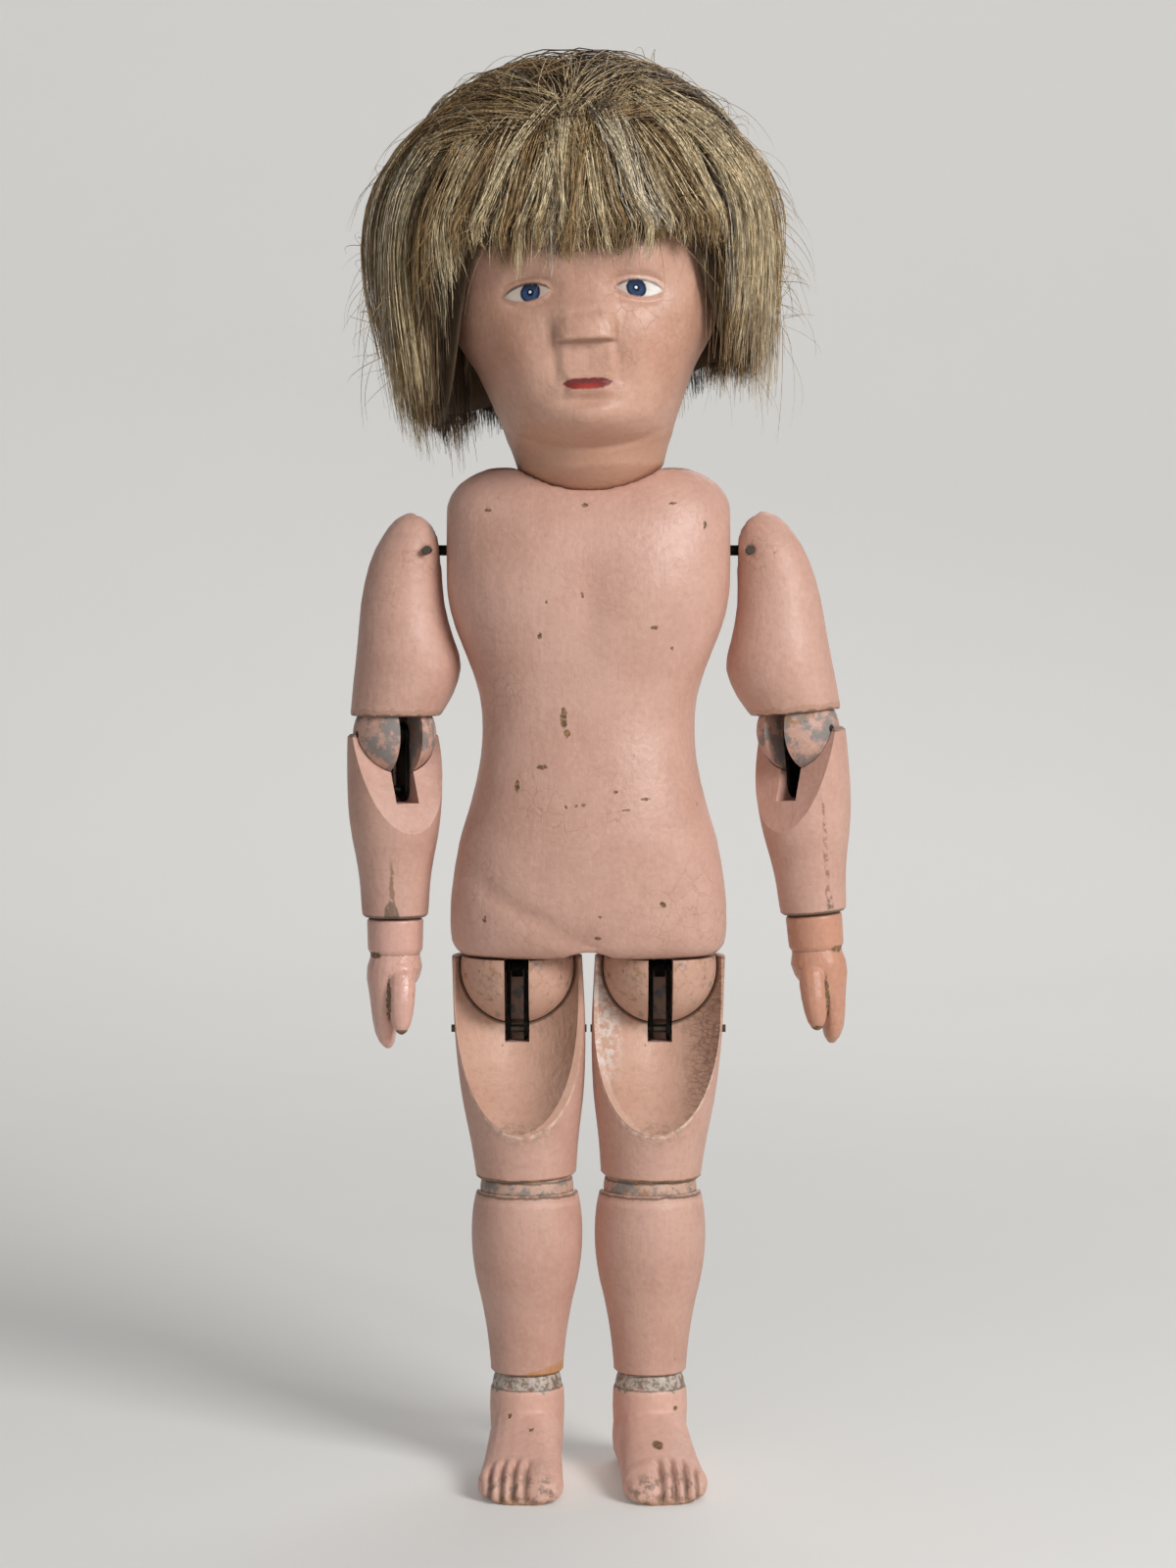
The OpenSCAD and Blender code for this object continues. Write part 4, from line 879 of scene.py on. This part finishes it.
def stray_paths(rng, count):
    """Loose hairs that stand off the wig."""
    phi = rng.uniform(-math.pi, math.pi, count)
    t = rng.uniform(0.3, 0.97, count)
    t = np.maximum(t, hem(phi) + 0.04)
    start = wig_place(t, phi, np.full(count, 0.9))
    out = start - np.array([0, 0, WIG_MIDDLE - 8])
    out = unit(out)
    along = np.cross(out, rng.normal(0, 1, (count, 3)))
    along = unit(along)
    along[:, 2] -= 0.4
    u = np.linspace(0, 1, 9)[None, :, None]
    length = rng.uniform(8, 24, (count, 1, 1))
    rise = rng.uniform(2, 8, (count, 1, 1))
    path = start[:, None] + along[:, None] * length * u + out[:, None] * rise * np.sin(1.9 * u)
    path = path - np.array([0, 0, 1.0]) * 3 * u * u
    path[..., 1] = np.clip(path[..., 1], -53.0, 60.0)
    return path


def hair_piece(name, paths, radius, material, rng):
    """One curve object of many thin, tapered strands."""
    data = bpy.data.curves.new(name, "CURVE")
    data.dimensions = "3D"
    data.bevel_depth = radius
    data.bevel_resolution = 0
    data.resolution_u = 1
    places = head_to_doll(paths)
    steps = places.shape[1]
    taper = 1 - 0.75 * np.linspace(0, 1, steps) ** 3
    for place, size in zip(places, rng.uniform(0.65, 1.3, len(places))):
        spline = data.splines.new("POLY")
        spline.points.add(steps - 1)
        spline.points.foreach_set("co", np.column_stack([place, np.ones(steps)]).ravel())
        spline.points.foreach_set("radius", size * taper)
    return link_object(name, data, "head", "hair", material)


def shoulder(side):
    """Middle of a shoulder joint in millimetres."""
    return (STANCE_X + side * SHOULDER_X, STANCE_Y, SHOULDER_Z)


def look_from(eye, aim):
    """Place and turn of a lamp or camera at the eye that looks at the aim."""
    turn = (Vector(aim) - Vector(eye)).to_track_quat("-Z", "Y")
    return Matrix.Translation(eye) @ turn.to_matrix().to_4x4()


# Layers of paint

def rubbed(amount, nodes, place, colour, age):
    """Enamel rubbed down to grey primer and bare wood."""
    paint = bpy.context.scene.doll_paint
    grey = nodes.blotch(place, 0.16, 0.62 - 0.25 * amount, 0.7 - 0.2 * amount, 4.0, 0.65)
    colour = nodes.cover(colour, paint.primer, grey, 0.85)
    bare = nodes.blotch(nodes.vector("ADD", place, (31.0, 7.0, 5.0)), 0.2, 0.55, 0.66, 4.0, 0.7)
    colour = nodes.cover(colour, paint.bare_wood, bare, 0.7)
    dirt = nodes.blotch(nodes.vector("ADD", place, (3.0, 17.0, 9.0)), 0.35, 0.58, 0.72, 4.0, 0.7)
    return nodes.cover(colour, paint.grime, dirt, 0.6)


def top_wear(side, nodes, place, colour, age):
    """Rubbed inner side of an upper arm's top."""
    paint = bpy.context.scene.doll_paint
    x, _, z = nodes.split(place)
    inner = nodes.step(x * side + nodes.noise(place, 0.3, 4.0, 0.7) * 5.0, 3.5, 0.5)
    mask = inner * nodes.step(z, 2.0, 8.0)
    return nodes.cover(colour, paint.primer, mask, 0.75)


def streak(stain, nodes, place, colour, age):
    """Dirty run down a forearm that spreads at the wrist."""
    paint = bpy.context.scene.doll_paint
    x, _, z = nodes.split(place)
    middle, top, spread, patchy = stain
    off = abs(x - (nodes.noise(place, 0.2) * 2.0 + middle))
    wide = nodes.step(z, -98.5, -103.4) * spread + nodes.step(z, top, -100.0) * 0.4
    wide = nodes.noise(place, 0.9, 3.0) * 0.5 + wide
    mask = nodes.step(off - wide, 0.3, -0.15) * nodes.step(z, top, top - 6.0)
    mask = mask * nodes.blotch(place, 0.7, patchy, patchy + 0.18, 3.0)
    dirt = nodes.mix(nodes.step(z, -97.0, -102.5), tint(140, 104, 76), paint.grime)
    return nodes.cover(colour, dirt, mask, 0.75)


def scoop(side, nodes, place, colour, age):
    """Rubbed scoop of a thigh with its rim pale from wear and painted highlight, and painted shade in the
    ball's seat.
    """
    x, _, z = nodes.split(place)
    away = nodes.vector("DISTANCE", place, SCOOP_MIDDLE)
    inside = nodes.step(away, SCOOP_R + 0.1, SCOOP_R - 0.1)
    blotch = nodes.blotch(place, 0.09, 0.38, 0.66, 4.0, 0.6)
    tan = nodes.cover(tint(212, 168, 146), tint(196, 150, 124), blotch, 0.6)
    tan = nodes.cover(tan, tint(170, 126, 100), nodes.step(age["Peel"], 0.52, 0.7), 0.2)
    rub = nodes.step(nodes.noise(place, 0.35, 4.0, 0.7) * 7.0 + nodes.vector("LENGTH", place), 25.5, 22.0)
    rub = rub * nodes.blotch(place, 0.3, 0.4, 0.62, 4.0, 0.7)
    tan = nodes.cover(tan, tint(158, 138, 122), rub, 0.5)
    if side > 0:
        wrinkle = nodes.vector("ADD", place, nodes.noise(place, 0.2, 2.0, 0.5, "Color"))
        wrinkle = nodes.vector("MULTIPLY", wrinkle, (0.5, 0.5, 1.6))
        cracks = nodes.voronoi(wrinkle, 0.5, "DISTANCE_TO_EDGE")
        lines = nodes.step(cracks["Distance"], 0.12, 0.0) * nodes.step(x, 5.0, 11.0)
        tan = nodes.cover(tan, tint(120, 92, 74), lines, 0.55)
        # Painted highlight: pale gloss on the left thigh's scoop, on its wall towards -x
        shine = nodes.step(x, -9.0, -14.5) * nodes.step(z, -38.0, -20.0)
        shine = shine * nodes.blotch(place, 0.45, 0.42, 0.6, 4.0, 0.7)
        tan = nodes.cover(tan, tint(236, 226, 218), shine, 0.8)
    colour = nodes.cover(colour, tan, inside, 0.9)
    # Pale rim of the scoop: partly worn paint, partly a painted highlight along its edge
    rim = nodes.step(away, SCOOP_R - 0.1, SCOOP_R + 0.1) * nodes.step(away, SCOOP_R + 1.0, SCOOP_R + 0.3)
    ragged = nodes.blotch(place, 0.4, 0.38, 0.6, 3.0)
    colour = nodes.cover(colour, tint(238, 210, 190), rim * ragged, 0.75)
    tip = nodes.step(away, SCOOP_R + 3.3, SCOOP_R) * nodes.step(z, -42.0, -45.0)
    tip = tip * nodes.blotch(place, 0.5, 0.45, 0.6, 4.0, 0.7)
    colour = nodes.cover(colour, tint(150, 126, 104), tip, 0.5)
    # Painted shade: dark seat round the hip ball
    seat = nodes.step(nodes.vector("LENGTH", place), 17.5, 17.0)
    return nodes.cover(colour, tint(96, 72, 54), seat, 0.75)


def bowl(nodes, place):
    """Depth of the hollow in a thigh's scoop, in millimetres."""
    x, _, z = nodes.split(place)
    wide = (x / 17.6) ** 2.0
    long = abs(z / 46.5) ** 3.0
    depth = nodes.math("SUBTRACT", 1.0, wide + long, clamp=True)
    away = nodes.vector("DISTANCE", place, SCOOP_MIDDLE)
    return depth * nodes.step(away, SCOOP_R + 0.2, SCOOP_R - 0.1) * -BOWL_DEPTH


def ochre(side, nodes, place, colour, age):
    """Ochre stain at the lower end of a shin."""
    x, y, z = nodes.split(place)
    slant = x * 0.26 + (-116.6 if side < 0 else -118.6)
    mask = nodes.step(slant - z, 0.0, 0.35)
    mask = mask * nodes.step(nodes.noise(place, 0.3) * 3.0 + x, -0.5, 1.2)
    mask = mask * nodes.step(y, 4.0, -2.0)
    worn = nodes.blotch(place, 0.4, 0.35, 0.65, 4.0, 0.7) * 0.45 + 0.42
    return nodes.mix(mask * worn, colour, tint(192, 134, 62))


def toes(side, nodes, place, colour, age):
    """Dirt between the toes, grey ankle and worn sole of a foot."""
    paint = bpy.context.scene.doll_paint
    x, y, z = nodes.split(place)
    across = x * side
    front = nodes.step(y, -33.0, -36.5) * nodes.step(z, 13.0, 10.0)
    for edge in TOE_EDGES:
        line = nodes.step(abs(across - edge), 0.9, 0.2)
        colour = nodes.cover(colour, paint.grime, line * front, 0.55)
    tip = nodes.step(y, -37.0, -41.0) * nodes.blotch(place, 0.35, 0.47, 0.62, 4.0, 0.7)
    colour = nodes.cover(colour, paint.grime, tip, 0.65)
    ring = nodes.noise(place, 0.16, 4.0, 0.7) * 7.0 + z
    ring = nodes.step(nodes.noise(place, 0.6, 3.0, 0.7) * 2.0 + ring, 28.6, 29.4)
    grey = nodes.mix(nodes.blotch(place, 0.5, 0.42, 0.6, 4.0, 0.7), tint(194, 184, 172), tint(116, 102, 88))
    colour = nodes.cover(colour, grey, ring, 0.9)
    sole = nodes.step(z, 2.6, 0.4) * nodes.blotch(place, 0.25, 0.38, 0.6, 4.0, 0.7)
    return nodes.cover(colour, paint.bare_wood, sole, 0.6)


# Operators

class DOLL_OT_stage(bpy.types.Operator):
    """Makes the floor, the lamps and the camera"""

    bl_idname = "doll.stage"
    bl_label = "Stage"

    def execute(self, context):
        stage = context.scene.doll_stage
        scene = context.scene
        scene.view_settings.view_transform = "Standard"
        bm = bmesh.new()
        bmesh.ops.create_grid(bm, x_segments=1, y_segments=1, size=FLOOR_HALF)
        far = [e for e in bm.edges if all(v.co.y > 1.9 for v in e.verts)]
        wall = bmesh.ops.extrude_edge_only(bm, edges=far)["geom"]
        top = [g for g in wall if isinstance(g, bmesh.types.BMVert)]
        bmesh.ops.translate(bm, verts=top, vec=(0, 0, WALL_HEIGHT))
        bend = [e for e in bm.edges if all(v.co.y > 1.9 and v.co.z < 0.1 for v in e.verts)]
        bmesh.ops.bevel(bm, geom=bend, offset=BEND_SIZE, segments=24, profile=0.5, affect="EDGES", material=-1)
        bmesh.ops.recalc_face_normals(bm, faces=bm.faces)
        material, nodes, shader = new_material("floor_paper")
        place = place_in_mm(nodes)
        tone = nodes.noise(place, 0.01, 3.0)
        nodes.feed(shader.inputs["Base Color"], nodes.mix(tone, stage.floor, scaled(stage.floor, 0.96)))
        shader.inputs["Roughness"].default_value = 0.9
        rays = nodes.values(nodes.add("ShaderNodeLightPath").outputs)
        seen = nodes.math("MAXIMUM", rays["Is Glossy Ray"], rays["Is Transmission Ray"])
        seen = nodes.math("MAXIMUM", rays["Is Camera Ray"], seen)
        y = nodes.split(place)[1]
        glow = nodes.step(y, 150.0, 1700.0) * 0.3 + nodes.step(y, -400.0, -120.0) * 0.14
        shader.inputs["Emission Color"].default_value = rgba(stage.floor)
        nodes.feed(shader.inputs["Emission Strength"], seen * glow)
        data = mesh_from(bm, "floor")
        floor = bpy.data.objects.new("floor", data)
        data.materials.append(material)
        scene.collection.objects.link(floor)
        world = bpy.data.worlds.new("studio")
        world.use_nodes = True
        world.node_tree.nodes["Background"].inputs[0].default_value = (0.95, 0.97, 1.0, 1.0)
        world.node_tree.nodes["Background"].inputs[1].default_value = stage.sky
        scene.world = world
        for name, spot, size, power in (
            ("key", (0.85, -0.95, 0.85), 0.55, stage.key),
            ("fill", (-0.3, -1.4, 0.5), 0.9, stage.fill),
            ("rim", (0.3, 1.0, 1.2), 0.9, stage.rim),
        ):
            light = bpy.data.lights.new(name, "AREA")
            light.size = size
            light.energy = power
            lamp = bpy.data.objects.new(name, light)
            lamp.matrix_world = look_from(spot, LAMP_AIM)
            scene.collection.objects.link(lamp)
        camera = bpy.data.cameras.new("camera")
        camera.sensor_width = 36.0
        camera.lens = stage.lens
        holder = bpy.data.objects.new("camera", camera)
        eye = (CAMERA_X, STANCE_Y / 1000 - stage.distance, stage.height)
        aim = (CAMERA_X, STANCE_Y / 1000, stage.aim)
        holder.matrix_world = look_from(eye, aim)
        scene.collection.objects.link(holder)
        scene.camera = holder
        return {"FINISHED"}


class DOLL_OT_head(bpy.types.Operator):
    """Makes the carved head with its painted face"""

    bl_idname = "doll.head"
    bl_label = "Head"

    def execute(self, context):
        paint = context.scene.doll_paint
        bm = bmesh.new()
        bmesh.ops.create_uvsphere(bm, u_segments=HEAD_GRID[0], v_segments=HEAD_GRID[1], radius=1.0)
        way = np.array([v.co for v in bm.verts], float)
        turn = np.arctan2(way[:, 0], -way[:, 1]) / math.pi
        phi = math.pi * turn * (0.52 + 0.48 * np.abs(turn) ** 1.4)
        rise = np.arcsin(np.clip(way[:, 2], -1, 1)) / math.pi + 0.5
        k = math.asin(NECK_R / NECK_BALL) * np.clip(rise / NECK_SHARE, 0, 1)
        ball = NECK_BALL * xyz(np.sin(k) * np.sin(phi), -np.sin(k) * np.cos(phi), -np.cos(k))
        face = (rise - NECK_SHARE) / (FACE_SHARE - NECK_SHARE) * FACE_TOP
        top = FACE_TOP + (rise - FACE_SHARE) / (1 - FACE_SHARE) * (1 - FACE_TOP)
        t = np.clip(np.where(rise < FACE_SHARE, face, top), 0, 1)
        points = skull(t, phi)
        front = ease(2 * np.cos(phi)) * (np.cos(phi) > 0)
        points[:, 1] -= front * face_relief(points[:, 0], points[:, 2]) * ease(t / 0.03)
        points = np.where((rise < NECK_SHARE)[:, None], ball, points)
        place_vertices(bm, head_to_doll(points))
        bmesh.ops.recalc_face_normals(bm, faces=bm.faces)
        material = painted_wood(
            "face_enamel", paint.face, paint.face_deep, centre=HEAD_CENTRE, turn=HEAD_TURN,
            chips=0.4, layer=face_paint, rough=0.34,
        )
        link_object("carved_head", mesh_from(bm, "carved_head"), "head", "face_paint", material, "head")
        return {"FINISHED"}


class DOLL_OT_wig(bpy.types.Operator):
    """Makes the sewn cap of the wig and its strands"""

    bl_idname = "doll.wig"
    bl_label = "Wig"

    def execute(self, context):
        wig = context.scene.doll_wig
        rng = np.random.default_rng(HAIR_SEED)
        bm = bmesh.new()
        bmesh.ops.create_grid(bm, x_segments=CAP_GRID[0], y_segments=CAP_GRID[1], size=1.0)
        flat = np.array([v.co for v in bm.verts], float)
        phi = math.pi * flat[:, 0]
        u = (flat[:, 1] + 1) / 2
        t = 0.985 - (0.985 - hem(phi) - 0.035) * u ** 1.6
        place_vertices(bm, head_to_doll(wig_place(t, phi, 0.12 + 0.4 * (1 - u) ** 2)))
        bmesh.ops.remove_doubles(bm, verts=bm.verts, dist=0.00005)
        rim = [e for e in bm.edges if e.is_boundary and e.verts[0].co.z > 0.39]
        bmesh.ops.holes_fill(bm, edges=rim, sides=0)
        bmesh.ops.recalc_face_normals(bm, faces=bm.faces)
        material, nodes, shader = new_material("wig_cap")
        place = place_in_mm(nodes)
        weave = nodes.noise(nodes.vector("MULTIPLY", place, (1.0, 1.0, 0.15)), 1.4, 3.0)
        nodes.feed(shader.inputs["Base Color"], nodes.mix(weave, scaled(wig.cap, 0.5), wig.dark))
        shader.inputs["Roughness"].default_value = 0.8
        cap = link_object("wig_cap", mesh_from(bm, "wig_cap"), "head", "hair", material, "wig")
        wall = cap.modifiers.new("Cloth", "SOLIDIFY")
        wall.thickness = CAP_WALL
        # Pale and tawny hair are lighter copies for painted highlights on the top layers and wisps
        light = mohair("hair_light", wig.light)
        middle = mohair("hair_middle", wig.middle)
        dark = mohair("hair_dark", wig.dark)
        pale = mohair("hair_pale", [0.36 + 0.6 * c for c in wig.light])
        tawny = mohair("hair_tawny", [(a + b) / 2 for a, b in zip(wig.light, wig.middle)])
        n, r = wig.count, wig.strand
        # Under layers take the dark hair as painted shade; top layers and wisps take the light, tawny and pale
        # hair as painted highlights
        plan = (
            ("fringe_under", n, -60, 56, 0.15, 0.5, dark, 0.0, 0.014, 1.8, 1.0),
            ("fringe_middle", n, -60, 55, 0.35, 0.8, middle, 0.0, 0.02, 2.6, 1.0),
            ("fringe_top", n // 2, -62, 57, 0.55, 0.95, light, 0.0, 0.026, 3.4, 1.0),
            ("right_lock_under", n, -132, -72, 0.1, 0.5, dark, 0.18, 0.02, 3.0, 1.0),
            ("right_lock_middle", n, -130, -68, 0.3, 0.8, middle, 0.2, 0.05, 5.0, 1.0),
            ("right_lock_top", n // 2, -128, -64, 0.45, 0.9, tawny, 0.22, 0.075, 7.0, 1.0),
            ("left_lock_under", n, 60, 132, 0.1, 0.5, dark, 0.12, 0.02, 3.0, 1.0),
            ("left_lock_middle", n, 56, 130, 0.3, 0.76, middle, 0.13, 0.05, 5.0, 1.0),
            ("left_lock_top", n // 2, 52, 128, 0.45, 0.86, tawny, 0.14, 0.07, 7.0, 1.0),
            ("back_under", n, 124, 236, 0.15, 0.6, dark, 0.06, 0.02, 3.0, 1.0),
            ("back_middle", n, 122, 238, 0.4, 0.95, middle, 0.08, 0.03, 4.5, 1.0),
            ("back_top", n // 2, 124, 236, 0.55, 1.0, light, 0.08, 0.035, 5.0, 1.0),
            ("wisps", n // 4, -135, 135, 0.6, 1.08, pale, 0.02, 0.07, 9.0, 0.8),
        )
        for name, count, low, high, inner, outer, material, slope, jag, sway, thick in plan:
            paths = strand_paths(rng, count, low, high, inner, outer, slope, jag, sway)
            hair_piece(name, paths, thick * r, material, rng)
        hair_piece("crown_dark", crown_paths(rng, n), r, dark, rng)
        hair_piece("crown_middle", crown_paths(rng, n), r, middle, rng)
        hair_piece("crown_light", crown_paths(rng, n // 3), r, tawny, rng)
        hair_piece("stray_hairs", stray_paths(rng, STRAY_HAIRS), 0.5 * r, middle, rng)
        return {"FINISHED"}


class DOLL_OT_torso(bpy.types.Operator):
    """Makes the smooth torso halves"""

    bl_idname = "doll.torso"
    bl_label = "Torso"

    def execute(self, context):
        paint = context.scene.doll_paint
        spots = (
            (-7.0, 217.7, 0.9, 3.2), (-6.0, 213.4, 0.8, 1.2), (-20.1, 198.6, 0.7, 1.6),
            (-13.0, 204.0, 1.5, 0.8), (-6.4, 193.1, 0.5, 0.5), (-3.4, 193.2, 0.5, 0.5),
            (-1.5, 193.6, 0.6, 0.6), (-28.3, 275.8, 0.9, 0.5), (-1.0, 277.0, 0.9, 0.7),
            (23.6, 277.8, 1.2, 0.4), (32.7, 271.7, 0.5, 1.0), (18.4, 243.0, 1.0, 0.6),
            (23.4, 237.3, 0.5, 0.5), (-11.7, 250.0, 0.4, 0.4), (-1.7, 252.0, 0.4, 0.9),
            (20.9, 165.3, 0.9, 0.9), (3.1, 162.0, 0.6, 0.5), (-29.2, 161.0, 0.5, 1.0),
            (7.5, 197.0, 0.7, 0.5), (16.0, 195.0, 1.2, 0.4), (-13.6, 240.6, 0.6, 1.0),
            (2.6, 155.8, 1.0, 0.5), (10.4, 192.0, 1.1, 0.3),
        )
        material = painted_wood(
            "torso_enamel", paint.flesh, paint.flesh_deep, centre=(STANCE_X, STANCE_Y, 0.0), spots=spots,
            chips=0.55, rough=0.34,
            bands=((149.2, 1.0, 1.6, paint.grime, 0.55), (287.9, 0.8, 1.5, paint.grime, 0.5)),
        )
        for node in ("torso_front", "torso_back"):
            data = carved_copy(node, TORSO_VOXEL, 6)
            carve_torso(data)
            link_object(node + "_wood", data, "torso", "body_paint", material, node)
        return {"FINISHED"}


class DOLL_OT_arms(bpy.types.Operator):
    """Paints upper arms, elbow balls and forearms"""

    bl_idname = "doll.arms"
    bl_label = "Arms"

    def execute(self, context):
        paint = context.scene.doll_paint
        for side, name, turn in ((-1, "right", 0.0), (1, "left", -LEFT_LIFT)):
            centre = shoulder(side)
            upper = painted_wood(
                name + "_upper_arm_enamel", paint.flesh, paint.flesh_deep, centre=centre,
                turn=(0.0, turn, 0.0), layer=partial(top_wear, side), chips=0.8,
                bands=((-47.3, 1.0, 4.2, paint.grime, 0.7), (-45.8, 0.8, 4.0, paint.bare_wood, 0.35)),
            )
            node = name + "_upper_arm"
            data = carved_copy(node, ARM_VOXEL, 4)
            link_object(node + "_wood", data, node, "body_paint", upper, node)
            stain = (-11.2, -86.0, 1.4, 0.26) if side < 0 else (13.0, -68.0, 0.2, 0.42)
            lower = painted_wood(
                name + "_forearm_enamel", paint.flesh, paint.flesh_deep, centre=centre, turn=(0.0, turn, 0.0),
                layer=partial(streak, stain), chips=0.8,
                bands=((-52.6, 0.8, 1.6, paint.grime, 0.7), (-104.4, 0.7, 1.2, paint.grime, 0.8)),
            )
            paint_node(name + "_forearm", lower)
            paint_node(name + "_elbow_ball", worn_ball(name + "_elbow_worn", paint.flesh, 0.65, centre))
        return {"FINISHED"}


class DOLL_OT_hands(bpy.types.Operator):
    """Makes the carved hands"""

    bl_idname = "doll.hands"
    bl_label = "Hands"

    def execute(self, context):
        paint = context.scene.doll_paint
        hands = ((-1, "right", 0.0, paint.hand_right, 0.2), (1, "left", -LEFT_LIFT, paint.hand_left, 0.28))
        for side, name, turn, base, rough in hands:
            spots = (
                (11.2 * side, -128.0, 0.7, 6.5), (7.4 * side, -137.0, 2.2, 0.8),
                (15.2 * side, -115.3, 1.9, 0.9)
            )
            centre = shoulder(side)
            material = painted_wood(
                name + "_hand_enamel", base, scaled(base, 0.86), centre=centre, turn=(0.0, turn, 0.0),
                chips=0.6, rough=rough, spots=spots,
                bands=((-105.2, 0.5, 0.8, paint.grime, 0.75), (-115.2, 0.45, 0.6, paint.grime, 0.5)),
            )
            data = carved_copy(name + "_hand", HAND_VOXEL, 3)
            link_object(name + "_carved_hand", data, name + "_hand", "hand_paint", material, name + "_hand")
        return {"FINISHED"}


class DOLL_OT_legs(bpy.types.Operator):
    """Paints hip balls, thighs, knee balls and shins"""

    bl_idname = "doll.legs"
    bl_label = "Legs"

    def execute(self, context):
        paint = context.scene.doll_paint
        for side, name in ((-1, "right"), (1, "left")):
            centre = (STANCE_X + side * HIP_X, STANCE_Y, HIP_Z)
            thigh = painted_wood(
                name + "_thigh_enamel", paint.flesh, paint.flesh_deep, centre=centre,
                layer=partial(scoop, side), chips=0.8, relief=bowl,
                bands=(
                    (-60.4, 0.8, 1.6, paint.grime, 0.75), (-59.6, 0.6, 12.0, tint(204, 158, 100), 0.45),
                    (2.6, 0.6, 1.0, paint.grime, 0.5)
                ),
            )
            paint_node(name + "_thigh", thigh)
            shin = painted_wood(
                name + "_shin_enamel", paint.flesh, paint.flesh_deep, centre=centre, chips=0.9,
                layer=partial(ochre, side),
                bands=(
                    (-65.0, 0.6, 2.0, paint.grime, 0.75), (-67.0, 1.0, 3.0, tint(228, 188, 168), 0.3),
                    (-117.0, 0.5, 1.0, paint.grime, 0.8),
                ),
            )
            paint_node(name + "_shin", shin)
            paint_node(name + "_hip_ball", worn_ball(name + "_hip_worn", tint(208, 164, 142), 0.12, centre))
            rings = ((-61.0, 0.6, 1.6, paint.grime, 0.75), (-64.6, 0.6, 1.6, paint.grime, 0.75))
            knee = worn_ball(name + "_knee_worn", tint(206, 168, 148), 0.55, centre, rings)
            paint_node(name + "_knee_ball", knee)
        return {"FINISHED"}


class DOLL_OT_feet(bpy.types.Operator):
    """Makes the carved feet"""

    bl_idname = "doll.feet"
    bl_label = "Feet"

    def execute(self, context):
        paint = context.scene.doll_paint
        for side, name, turn in ((-1, "right", math.radians(-4.0)), (1, "left", math.radians(8.0))):
            centre = (STANCE_X + side * FOOT_X, STANCE_Y, 0.0)
            spots = ((-4.0, 18.0, 0.5, 0.6), (2.6, 15.5, 0.8, 0.3))
            if side > 0:
                spots = ((-1.5, 12.6, 1.6, 0.8), (6.0, 19.5, 0.8, 0.7))
            material = painted_wood(
                name + "_foot_enamel", scaled(paint.flesh, 1.18), paint.flesh, centre=centre,
                turn=(0.0, 0.0, turn), layer=partial(toes, side), chips=1.0,
                spots=spots, bands=((24.7, 0.5, 1.0, paint.grime, 0.7),),
            )
            data = carved_copy(name + "_foot", FOOT_VOXEL, 3)
            carve_toes(data, centre, turn, side)
            link_object(name + "_carved_foot", data, name + "_foot", "body_paint", material, name + "_foot")
        return {"FINISHED"}


class DOLL_OT_hardware(bpy.types.Operator):
    """Gives pins, rods, links and springs their steel, with near-black steel on the links and rods in the
    slots as painted shade
    """

    bl_idname = "doll.hardware"
    bl_label = "Hardware"

    def execute(self, context):
        pins = old_steel("pin_steel", 84, 82, 74, 0.45)
        # Near-black steel for the links and rods in the slots: painted shade of the slots' dark insides
        shadow_steel = old_steel("slot_steel", 14, 13, 12, 0.55, 0.15)
        bright = old_steel("spring_steel", 128, 126, 122, 0.36)
        steels = {"pin_steel": pins, "spring_steel": bright}
        for part in frame["record"]["subparts"]:
            if part["material_slot"] in steels:
                # Links and rods sit inside the slots and take the near-black steel as painted shade
                inside = part["node"].endswith(("_link", "_rod"))
                paint_node(part["node"], shadow_steel if inside else steels[part["material_slot"]])
        return {"FINISHED"}


class DOLL_PT_panel(bpy.types.Panel):
    """Lists the steps that dress the doll"""

    bl_idname = "DOLL_PT_panel"
    bl_label = "Doll"
    bl_space_type = "VIEW_3D"
    bl_region_type = "UI"
    bl_category = "Doll"

    def draw(self, context):
        for operator in OPERATORS:
            self.layout.operator(operator.bl_idname)
        for group in ("doll_paint", "doll_wig", "doll_stage"):
            settings = getattr(context.scene, group)
            for key in settings.__annotations__:
                self.layout.prop(settings, key)


GROUPS = (("doll_paint", DollPaint), ("doll_wig", DollWig), ("doll_stage", DollStage))
OPERATORS = (
    DOLL_OT_stage, DOLL_OT_head, DOLL_OT_wig, DOLL_OT_torso, DOLL_OT_arms, DOLL_OT_hands, DOLL_OT_legs,
    DOLL_OT_feet, DOLL_OT_hardware
)


def register():
    for name, group in GROUPS:
        bpy.utils.register_class(group)
        setattr(bpy.types.Scene, name, bpy.props.PointerProperty(type=group))
    for item in OPERATORS + (DOLL_PT_panel,):
        bpy.utils.register_class(item)


def unregister():
    for item in (DOLL_PT_panel,) + OPERATORS[::-1]:
        bpy.utils.unregister_class(item)
    for name, group in GROUPS[::-1]:
        delattr(bpy.types.Scene, name)
        bpy.utils.unregister_class(group)


def main():
    register()
    bpy.ops.doll.stage()
    bpy.ops.doll.head()
    bpy.ops.doll.wig()
    bpy.ops.doll.torso()
    bpy.ops.doll.arms()
    bpy.ops.doll.hands()
    bpy.ops.doll.legs()
    bpy.ops.doll.feet()
    bpy.ops.doll.hardware()
    bpy.context.view_layer.update()


if __name__ == "__main__":
    main()
